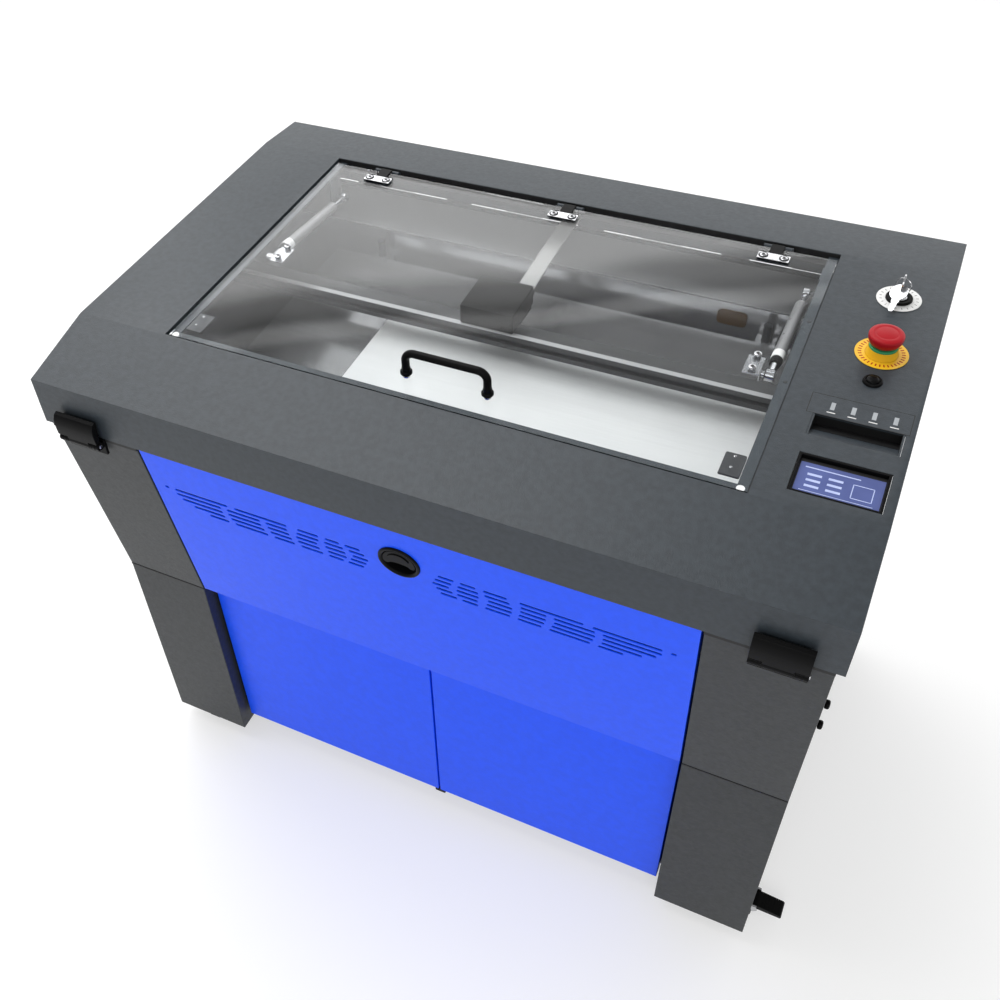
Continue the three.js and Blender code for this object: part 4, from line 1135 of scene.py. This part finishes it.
def label_lines():
    """Short pale dashes under each light, where words would be."""
    shape = bmesh.new()
    for x in LIGHT_X:
        add_box(shape, x - 4.6, x + 4.6, -65.0, -63.6, 839.9, 840.12)
    return to_object("status_label_dashes", shape, "white", "hood")


def display():
    glass = bmesh.new()
    add_box(glass, 410.9, 490.1, -194.6, -145.9, 827, 834.1)
    add_box(glass, 405.8, 495.2, -196.8, -141.8, 834.05, 834.8)
    to_object("screen_glass", glass, "shadow", "hood", replaces=("screen_panel",))
    lit_part = bmesh.new()
    add_box(lit_part, 407.2, 494.6, -194.8, -147.0, 834.7, 835.0)
    to_object("screen_lit_area", lit_part, "screen", "hood")
    low, high = 834.95, 835.12
    menu = bmesh.new()
    for row in range(3):
        for column in range(2):
            x, y = 417 + column * 22, -162.5 - row * 9.0
            add_box(menu, x, x + 15, y - 3.4, y, low, high)
    add_box(menu, 413, 470, -154.6, -153.0, low, high)
    for x0, x1 in ((464, 465), (485, 486)):
        add_box(menu, x0, x1, -184.5, -162.5, low, high)
    for y0, y1 in ((-184.5, -183.5), (-163.5, -162.5)):
        add_box(menu, 464, 486, y0, y1, low, high)
    add_box(menu, 413, 488, -190.6, -189.8, low, high)
    return to_object("screen_menu", menu, "menu", "hood")


def status_seam_and_pocket_shade():
    """The dark joint line round the label plate, and near-black sheets that paint the shade at the
    back of the pocket.
    """
    shape = bmesh.new()
    x0, x1, y0, y1, low, high = 393.7, 504.3, -71.3, -35.2, 839.6, 840.06
    add_box(shape, x0, x1, y1 - 0.9, y1, low, high)
    add_box(shape, x0, x0 + 0.9, y0, y1, low, high)
    add_box(shape, x1 - 0.9, x1, y0, y1, low, high)
    add_box(shape, x0, x1, y0, y0 + 0.8, low, high)
    # Painted shade: near-black lining on the rear wall, the cheeks and the upper floor of the
    # pocket.
    add_box(shape, 404.1, 497.9, -67.7, -67.05, 821.4, 836.9)
    for x in (404.05, 497.65):
        add_prism(shape, [(-67.1, 821.6), (-96, 834.8), (-78, 839.2), (-67.1, 839.2)], x, x + 0.3)
    add_prism(shape, [(-67.1, 821.1), (-67.1, 821.4), (-86, 830.1), (-86, 829.7)], 404.1, 497.9)
    return to_object("status_plate_joint", shape, "shadow", "hood")


small_button()
light_bars()
status_seam_and_pocket_shade()
label_lines()
print("display", display().name)

# %% [markdown]
# ### The flush latch of the front panel
# A dished black ring round a finger cup. The paddle fills the upper part of the
# cup; its lower edge is scooped so that a finger finds it, and it swings out on
# its own body.

# %% Make the flush latch
def flush_latch():
    place = LEANED @ Matrix.Translation((0, 0, PANEL["latch_at"]))
    ring = bmesh.new()
    add_turned(ring, [(0, 13), (25, 13), (25, -0.2), (28.3, -0.2), (28.4, -0.9), (27.6, -2.4),
                      (26.2, -3.0), (25.0, -2.9), (23.6, -2.0), (22.9, -1.0), (22.5, 0.6),
                      (22.2, 10.5), (0, 11)], axis="Y", steps=80, matrix=place)
    to_object("panel_latch_bezel_finished", ring, "black", "front_panel",
              replaces=("panel_latch_bezel",))
    paddle = bmesh.new()
    top = [(21.1 * cos(radians(a)), 21.1 * sin(radians(a))) for a in range(-8, 189, 7)]
    scoop = [(-19.0, -5.6), (-15.5, -5.8), (-13.0, -3.4), (-9.0, -1.6), (-4.0, -0.9), (0, -0.8),
             (4.0, -0.9), (9.0, -1.6), (13.0, -3.4), (15.5, -5.8), (19.0, -5.6)]
    outline = [(-z, x) for x, z in top + scoop]
    verts = add_prism(paddle, outline, -1.5, 2.5)
    turn = Matrix(((0, 0, 1, 0), (1, 0, 0, 0), (0, -1, 0, 0), (0, 0, 0, 1)))
    bmesh.ops.transform(paddle, verts=verts, matrix=turn)
    ridge = arc((0, -2.0, 1.0), 15.5, 25, 155, 17)
    add_bar(paddle, ridge, 0.9, 8)
    round_edges(paddle, 0.6, 2, 50)
    bmesh.ops.transform(paddle, verts=paddle.verts, matrix=place)
    return to_object("panel_latch_paddle_finished", paddle, "black", "panel_latch_paddle",
                     replaces=("panel_latch_paddle",))


print("flush latch", flush_latch().name)

# %% [markdown]
# ### The draw latches
# Each lever is a moulded cover, rounded along its upper edge, over a barrel of short knuckles. The
# CAD lever already has the right hollow for the barrel, so a copy of it is only softened, its
# edges rolled in three segments.

# %% Soften the latch levers
LEVER_ROLL, LATCH_X, LATCH_PIN = 0.9, 447, (-349, 738)
for side in ("left", "right"):
    edges = rolled_copy("latch_lever_" + side, "black", LEVER_ROLL, 3)
    print("latch lever", side, edges)
for side, sign in (("left", -1), ("right", 1)):
    x = LATCH_X * sign
    screws("latch_pin_ends_" + side, "cabinet", [(x + 31.1, *LATCH_PIN)], RIGHT, 2.6, 1.2)
    collars = bmesh.new()
    for at in (-25.5, -20.5, 20.5, 25.5):
        add_turned(collars, [(6.0, -0.6), (6.4, -0.3), (6.4, 0.3), (6.0, 0.6)],
                   (x + at, *LATCH_PIN), axis="X", steps=36)
    to_object("latch_barrel_rings_" + side, collars, "black", "cabinet")
    screws("latch_plate_screws_" + side, "cabinet", [(x + s * 20, -341.5, 724) for s in (-1, 1)],
           (0, -1, 0), 3.0, 1.4, "dark_steel")

# %% [markdown]
# ### Gas struts
# Each strut is made level, then tilted to lie from the hood's stud up to the lid's bracket. Bright
# rod and ball sockets, a grey cylinder with a black taper at its end, and a pale collar where the
# cylinder is crimped.

# %% Make the gas struts
STRUT_ROOT, STRUT_TILT, STRUT_LONG = (205, 800), -0.10438, 211.149


def gas_strut(side):
    x = STRUT_X[side]
    place = (Matrix.Translation((x, STRUT_ROOT[0], STRUT_ROOT[1]))
             @ Matrix.Rotation(STRUT_TILT, 4, "X"))
    rod = bmesh.new()
    add_turned(rod, [(3.6, -4), (6.6, -4), (7.0, -3.4), (7.0, 3.4), (6.6, 4), (3.6, 4)],
               axis="X", steps=36, matrix=place)
    add_turned(rod, [(0, -170), (2.8, -170), (3.0, -169.6), (3.0, -14), (4.4, -13.4), (4.4, -8),
                     (3.2, -6.4)], axis="Y", steps=28, matrix=place)
    to_object("strut_rod_finished_" + side, rod, "steel", "strut_rod_" + side,
              replaces=("strut_rod_" + side,))
    tube = bmesh.new()
    add_turned(tube, [(3.7, -34), (6.6, -34), (7.3, -34.8), (7.5, -36), (7.5, -176), (3.7, -176)],
               axis="Y", steps=40, matrix=place)
    add_turned(tube, [(7.5, -160), (7.9, -160.6), (7.9, -174.6), (7.5, -175.2)], axis="Y",
               steps=40, index=2, matrix=place)
    add_turned(tube, [(7.5, -175), (7.4, -182), (6.6, -187), (5.0, -188.5)], axis="Y",
               steps=40, index=3, matrix=place)
    add_turned(tube, [(5.0, -188.4), (4.8, -204), (0, -204)], axis="Y", steps=40, index=1,
               matrix=place)
    add_turned(tube, [(0, -5.4), (6.8, -5.4), (7.4, -4.8), (7.4, 4.8), (6.8, 5.4), (0, 5.4)],
               (0, -STRUT_LONG, 0), axis="X", steps=36, index=1, matrix=place)
    return to_object("strut_cylinder_finished_" + side, tube, ("tube", "steel", "white", "black"),
                     "strut_cylinder_" + side, replaces=("strut_cylinder_" + side,))


for side in ("left", "right"):
    print(gas_strut(side).name)

# %% [markdown]
# ### Casters and brake pedals
# The wheel is a grey tyre on a pale hub with a recessed centre. The pedal is a
# black moulding with ribs across its tread, for the sole of a shoe.

# %% Make the caster wheels and pedals
CASTERS = {"front_left": (-438, -230, -90), "front_right": (438, -230, 0),
           "rear_left": (-438, 262, 180), "rear_right": (438, 262, 35)}


def caster_wheel(name):
    x, y, turn = CASTERS[name]
    place = (Matrix.Translation((x, y, 0)) @ Matrix.Rotation(radians(turn), 4, "Z")
             @ Matrix.Translation((28, 0, 30)))
    shape = bmesh.new()
    half = 12
    add_turned(shape, [(20.5, -half + 1.2), (24, -half), (27.5, -half), (29.2, -half + 1.4),
                       (30, -half + 4), (30, half - 4), (29.2, half - 1.4), (27.5, half),
                       (24, half), (20.5, half - 1.2)], axis="Y", steps=64, matrix=place)
    for flip in (-1, 1):
        hub = [(21, half - 1.5), (19, half - 1), (18, half - 4), (9, half - 4.5), (8, half - 0.6),
               (4.7, half), (4.7, 0)]
        add_turned(shape, [(r, h * flip) for r, h in hub], axis="Y", steps=48, index=1,
                   matrix=place)
    return to_object("caster_wheel_finished_" + name, shape, ("rubber", "hub"),
                     "caster_wheel_" + name, replaces=("caster_wheel_" + name,))


for name in CASTERS:
    print(caster_wheel(name).name)
for name, sign in (("front_right", 1), ("rear_left", -1)):
    rolled_copy("brake_pedal_" + name, "black", 1.4, 2)
    x, y, turn = CASTERS[name]
    ribs("pedal_ribs_" + name, "brake_pedal_" + name, 7, (x + sign * 79, y, 31.4),
         (sign * 4.0, 0, -0.55), (1.6, 24, 1.4), "black")

# %% [markdown]
# ## Inside the laser bay
# Through the lid: a bright sheet lies on the right part of the table, a grey
# cover closes the space behind the bay, and a pale strip runs along the gantry.
# Near-black strips paint the shade in the gap round the lid. A flat cable runs forward to a clamp
# on the gantry.

# %% Make the inner parts
def bright_sheet():
    shape = bmesh.new()
    add_box(shape, -211, 369, -246, 68, 705.2, 706.8)
    round_edges(shape, 0.4, 1)
    return to_object("table_bright_sheet", shape, "plate", "work_table")


def rear_cover():
    shape = bmesh.new()
    add_box(shape, -466, 466, 238.5, 333.5, 735.6, 737.4)
    add_box(shape, -466, 466, 331.5, 333.5, 700, 737.4)
    round_edges(shape, 0.6, 1)
    return to_object("bay_rear_cover", shape, "cover", "cabinet")


CABLE = {"x": -20, "rear": 326, "long": 206, "z": 772, "rise": 3, "drop": 2}


def flat_cable():
    """A ribbon of moulded wires, 24 mm wide, in a low arch from the cover to the clamp."""
    shape = bmesh.new()
    steps, half, thick, wires = 40, 12, 0.9, 16
    upper, lower = [], []
    for i in range(steps + 1):
        t = i / steps
        y = CABLE["rear"] - CABLE["long"] * t
        z = CABLE["z"] + CABLE["rise"] * sin(pi * t) - CABLE["drop"] * t
        across = [-half + 2 * half * k / wires for k in range(wires + 1)]
        upper.append([shape.verts.new((CABLE["x"] + u, y, z + 0.35 * (k % 2)))
                      for k, u in enumerate(across)])
        lower.append([shape.verts.new((CABLE["x"] + u, y, z - thick)) for u in across])
    for layer in (upper, lower):
        for a, b in zip(layer, layer[1:]):
            for k in range(wires):
                shape.faces.new((a[k], a[k + 1], b[k + 1], b[k]))
    for i in range(steps):
        for k in (0, wires):
            shape.faces.new((upper[i][k], upper[i + 1][k], lower[i + 1][k], lower[i][k]))
    for end in (0, steps):
        for k in range(wires):
            shape.faces.new((upper[end][k], upper[end][k + 1], lower[end][k + 1], lower[end][k]))
    bmesh.ops.recalc_face_normals(shape, faces=shape.faces)
    bmesh.ops.scale(shape, verts=shape.verts, vec=(MM,) * 3)
    mesh = bpy.data.meshes.new("flat_cable")
    shape.to_mesh(mesh)
    shape.free()
    mesh.materials.append(FINISHES["ribbon"])
    mesh.shade_smooth()
    cable = bpy.data.objects.new("flat_cable", mesh)
    bpy.context.scene.collection.objects.link(cable)
    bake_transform(cable)
    return cable


def cable_clamp():
    """A thin arm from the beam, under the head and over the rear cover, and a post."""
    shape = bmesh.new()
    add_box(shape, -34, -6, 118.6, 124, 764, 771)
    add_box(shape, -30, -10, 68.2, 123, 738.1, 740.5)
    add_box(shape, -30, -10, 119, 123, 739, 766)
    round_edges(shape, 0.5, 1)
    return to_object("cable_clamp", shape, "black", "gantry")


def lid_gap_shade():
    """Near-black strips on the ledge that paint the shade in the gap round the lid, and a
    near-black apron behind its hinges that paints the gap there as shade.
    """
    shape = bmesh.new()
    add_box(shape, -375.9, -371.2, -221.9, 247.9, 833.8, 834.3)
    add_box(shape, 366.7, 367.9, -221.9, 247.9, 833.8, 834.3)
    add_box(shape, -371, 366.6, -221.9, -220.2, 833.8, 834.3)
    # Painted shade: the black apron behind the hinges hides the lit bay so that the gap shows
    # dark.
    add_box(shape, -378, 370, 236, 262, 824, 825.5)
    add_box(shape, -378, 370, 260.5, 262, 824, 836)
    add_box(shape, -375.9, 367.9, 247.2, 247.9, 825, 839.2)
    return to_object("lid_gap_seals", shape, "shadow", "hood")


def gantry_strip():
    shape = bmesh.new()
    add_box(shape, -478, 478, 37.7, 45.5, 751.1, 751.95)
    round_edges(shape, 0.3, 1)
    return to_object("gantry_light_strip", shape, "strip", "gantry")


lid_gap_shade()
gantry_strip()
bright_sheet()
rear_cover()
print("cable", flat_cable().name, cable_clamp().name)

# %% [markdown]
# Small things under and round the lid: felt pads at its front corners, rubber
# bumpers on the ledge, a sensor plate under each front corner of the glass, and
# an amber sight window in the rear wall of the bay. Each hinge gets its plate.

# %% Make pads, bumpers and plates
def round_plate(shape, x0, x1, y0, y1, z0, z1, radius, index=0):
    """A flat plate with rounded corners."""
    outline = []
    for cx, cy, start in ((x1 - radius, y1 - radius, 0), (x0 + radius, y1 - radius, 90),
                          (x0 + radius, y0 + radius, 180), (x1 - radius, y0 + radius, 270)):
        outline += [p[:2] for p in arc((cx, cy, 0), radius, start, start + 90, 7, "xy")]
    verts = add_prism(shape, outline, z0, z1, index)
    lay = Matrix(((0, 1, 0, 0), (0, 0, 1, 0), (1, 0, 0, 0), (0, 0, 0, 1)))
    bmesh.ops.transform(shape, verts=verts, matrix=lay)
    return verts


def ledge_parts():
    pads = bmesh.new()
    for x in (-366, 358.5):
        add_turned(pads, [(0, 834.0), (4.6, 834.0), (4.6, 834.4), (0, 834.4)], (x, -213.5, 0))
    to_object("felt_pads", pads, "white", "hood")
    bumpers = bmesh.new()
    for x in (-369, 361):
        for y in (97.5, -25):
            add_turned(bumpers, [(0, 833.9), (2.6, 833.9), (2.4, 834.3), (0, 834.4)], (x, y, 0))
    to_object("ledge_bumpers", bumpers, "rubber", "hood")
    plates = bmesh.new()
    for x0, x1 in ((-360.5, -337.5), (330, 353)):
        round_plate(plates, x0, x1, -199, -163, 832.0, 834.3, 2)
    round_edges(plates, 0.3, 1, 50)
    to_object("lid_sensor_plates", plates, "dark_steel", "lid")
    screws("sensor_plate_screws", "lid",
           [(x, y, 839.5) for x in (-349, 341.5) for y in (-190, -172)], UP, 1.6, 0.8)
    amber = bmesh.new()
    verts = round_plate(amber, 226, 268, 700, 724, 0, 2.4, 7)
    stand = Matrix(((1, 0, 0, 0), (0, 0, -1, 238.1), (0, 1, 0, 0), (0, 0, 0, 1)))
    bmesh.ops.transform(amber, verts=verts, matrix=stand)
    round_edges(amber, 0.5, 2, 50)
    return to_object("amber_sight_window", amber, "amber", "cabinet")


def hinge_plates():
    """A bright cover plate on each hinge, with a dark washer under both screws."""
    shape = bmesh.new()
    for x in HINGE_X:
        add_box(shape, x - 20.4, x + 20.4, 203.2, 217.4, 841.35, 842.2, 0)
        for side in (-13.3, 13.3):
            add_turned(shape, [(0, 842.1), (6.3, 842.1), (6.3, 842.5), (0, 842.5)],
                       (x + side, 210.5, 0), steps=40, index=1)
    return to_object("lid_hinge_plates", shape, ("steel", "shadow"), "lid")


print("sight window", ledge_parts().name, hinge_plates().name)

# %% [markdown]
# Outside details: two black thumb screws that hold the right side panel, the small catch that
# keeps both doors shut at the bottom, and near-black strips that paint the shadow line in the
# joint under the hood and between the two tiers of pillars.

# %% Make the thumb screws, the door catch and the painted joint shadows
def thumb_screws():
    shape = bmesh.new()
    for z in (635, 595):
        profile = [(0, 0), (3.2, 0), (3.2, 1.2), (5.0, 1.6), (5.4, 2.4), (5.4, 5.2), (4.6, 6.4),
                   (2.4, 7.0), (0, 7.1)]
        add_turned(shape, profile, (501, -297, z), axis="X", steps=40)
    return to_object("side_thumb_screws", shape, "black", "cabinet")


def door_catch():
    shape = bmesh.new()
    add_box(shape, -9, 9, -271, -244, 45, 54.6)
    add_box(shape, -9, 9, -251, -244, 45, 63)
    round_edges(shape, 1.4, 2)
    return to_object("door_catch", shape, "black", "cabinet")


def joint_tape():
    """Near-black strips that paint the shadow line in the joint under the hood and between the two
    tiers.
    """
    shape = bmesh.new()
    for x0, x1 in ((-501, -367), (367, 501)):
        add_box(shape, x0, x1, -338.0, -336.0, 737.6, 743.3)
        add_box(shape, x0, x1, -293.5, -292.6, 412.2, 414.2)
    return to_object("joint_tape", shape, "shadow", "cabinet")


print(thumb_screws().name, door_catch().name, joint_tape().name)

# %% [markdown]
# ## Floor and light
# A plain pale floor takes a soft contact shadow. Three wide softboxes hang to
# the left, in front and overhead: the hood's front slope mirrors the last one.
# The world is an even pale room with a bright low wall behind the machine, and
# the lid and the steel of the bay mirror that wall and its soft upper edge.

# %% Floor and lights
def pale_floor():
    made, tree, shader = new_material("studio_floor")
    put(shader, {"Roughness": 0.9, "Specular IOR Level": 0.1, "Emission Color": (1, 1, 1, 1),
                 "Emission Strength": 0.52})
    where = node(tree, "ShaderNodeTexCoord", (-600, 0))
    cloud = node(tree, "ShaderNodeTexNoise", (-400, 0))
    put(cloud, {"Scale": 0.8})
    tone = node(tree, "ShaderNodeMix", (-200, 0), data_type="RGBA")
    put(tone, {6: (0.54, 0.54, 0.54, 1), 7: (0.56, 0.56, 0.56, 1)})
    tree.links.new(where.outputs["Object"], cloud.inputs["Vector"])
    tree.links.new(cloud.outputs["Fac"], tone.inputs["Factor"])
    tree.links.new(tone.outputs[2], shader.inputs["Base Color"])
    mesh = bpy.data.meshes.new("floor")
    mesh.from_pydata([(-14, -14, 0), (14, -14, 0), (14, 14, 0), (-14, 14, 0)], [], [(0, 1, 2, 3)])
    mesh.materials.append(made)
    floor = bpy.data.objects.new("floor", mesh)
    bpy.context.scene.collection.objects.link(floor)
    return floor


def softbox(name, at, aim, size, power):
    lamp = bpy.data.lights.new(name, "AREA")
    lamp.shape = "RECTANGLE"
    lamp.size, lamp.size_y = size
    lamp.energy = power
    box = bpy.data.objects.new(name, lamp)
    box.location = at
    box.rotation_euler = (Vector(aim) - Vector(at)).to_track_quat("-Z", "Y").to_euler()
    bpy.context.scene.collection.objects.link(box)
    return box


pale_floor()
# How bright each part of the room is, and where it starts and ends by height.
ROOM = {"wall": 2.1, "haze": 1.0, "strip": 1.4, "fill": 0.44}
WALL_FOOT, WALL_TOP, HAZE_TOP, STRIP_AT = (0.42, 0.47), (0.575, 0.592), 0.612, 0.614
softbox("left_softbox", (-2.6, 1.0, 2.8), (0, 0, 0.8), (1.8, 1.8), 24)
softbox("front_softbox", (1.0, -3.6, 3.0), (0, 0, 0.4), (3.0, 1.6), 42)
softbox("top_softbox", (-1.5, 0.4, 4.4), (-0.3, 0, 0.6), (3.4, 2.4), 100)


def studio_room():
    """An even pale room with a bright low wall behind the machine and one thin
    bright strip above it. The lid mirrors the wall, its soft edge and the strip."""
    made = bpy.data.worlds.new("studio")
    made.use_nodes = True
    tree = made.node_tree
    link = tree.links.new
    tree.nodes["Background"].inputs["Color"].default_value = (1, 1, 1, 1)
    where = node(tree, "ShaderNodeTexCoord", (-1500, 0))
    ripple = node(tree, "ShaderNodeTexNoise", (-1300, -300))
    put(ripple, {"Scale": 3.0})
    parts = node(tree, "ShaderNodeSeparateXYZ", (-1300, 0))
    link(where.outputs["Generated"], parts.inputs["Vector"])
    link(where.outputs["Generated"], ripple.inputs["Vector"])

    def math(kind, first, second, at):
        step = node(tree, "ShaderNodeMath", at, operation=kind)
        for socket, value in zip(step.inputs, (first, second)):
            if isinstance(value, (int, float)):
                socket.default_value = value
            else:
                link(value, socket)
        return step.outputs[0]

    def fade(value, start, stop, low, high, at):
        step = node(tree, "ShaderNodeMapRange", at, interpolation_type="SMOOTHSTEP")
        for label, number in (("From Min", start), ("From Max", stop), ("To Min", low),
                              ("To Max", high)):
            step.inputs[label].default_value = number
        link(value, step.inputs["Value"])
        return step.outputs["Result"]

    right = math("MAXIMUM", math("ADD", parts.outputs["X"], 0.3, (-1100, 200)), 0.0, (-950, 200))
    slope = math("MULTIPLY", right, 0.125, (-800, 200))
    wave = math("MULTIPLY", ripple.outputs["Fac"], 0.03, (-950, -300))
    height = math("ADD", math("ADD", parts.outputs["Z"], slope, (-650, 100)), wave, (-500, 0))
    top = fade(height, *WALL_TOP, ROOM["wall"], 0.0, (-300, 200))
    foot = fade(parts.outputs["Z"], *WALL_FOOT, 0.0, 1.0, (-300, 350))
    wall = math("MULTIPLY", top, foot, (-200, 280))
    haze = fade(height, WALL_TOP[1], HAZE_TOP, ROOM["haze"], 0.0, (-300, 0))
    away = math("SUBTRACT", height, STRIP_AT, (-450, -200))
    strip = fade(math("ABSOLUTE", away, 0.0, (-380, -300)), 0.002, 0.010, ROOM["strip"], 0.0,
                 (-300, -200))
    behind = fade(parts.outputs["Y"], 0.25, 0.6, 0.0, 1.0, (-300, -500))
    glow = math("ADD", math("ADD", wall, haze, (-100, 100)), strip, (0, 0))
    total = math("ADD", math("MULTIPLY", glow, behind, (100, 0)), ROOM["fill"], (250, 0))
    link(total, tree.nodes["Background"].inputs["Strength"])
    return made


bpy.context.scene.world = studio_room()
bpy.context.scene.view_settings.view_transform = "Standard"

# %% Update the scene
bpy.context.view_layer.update()
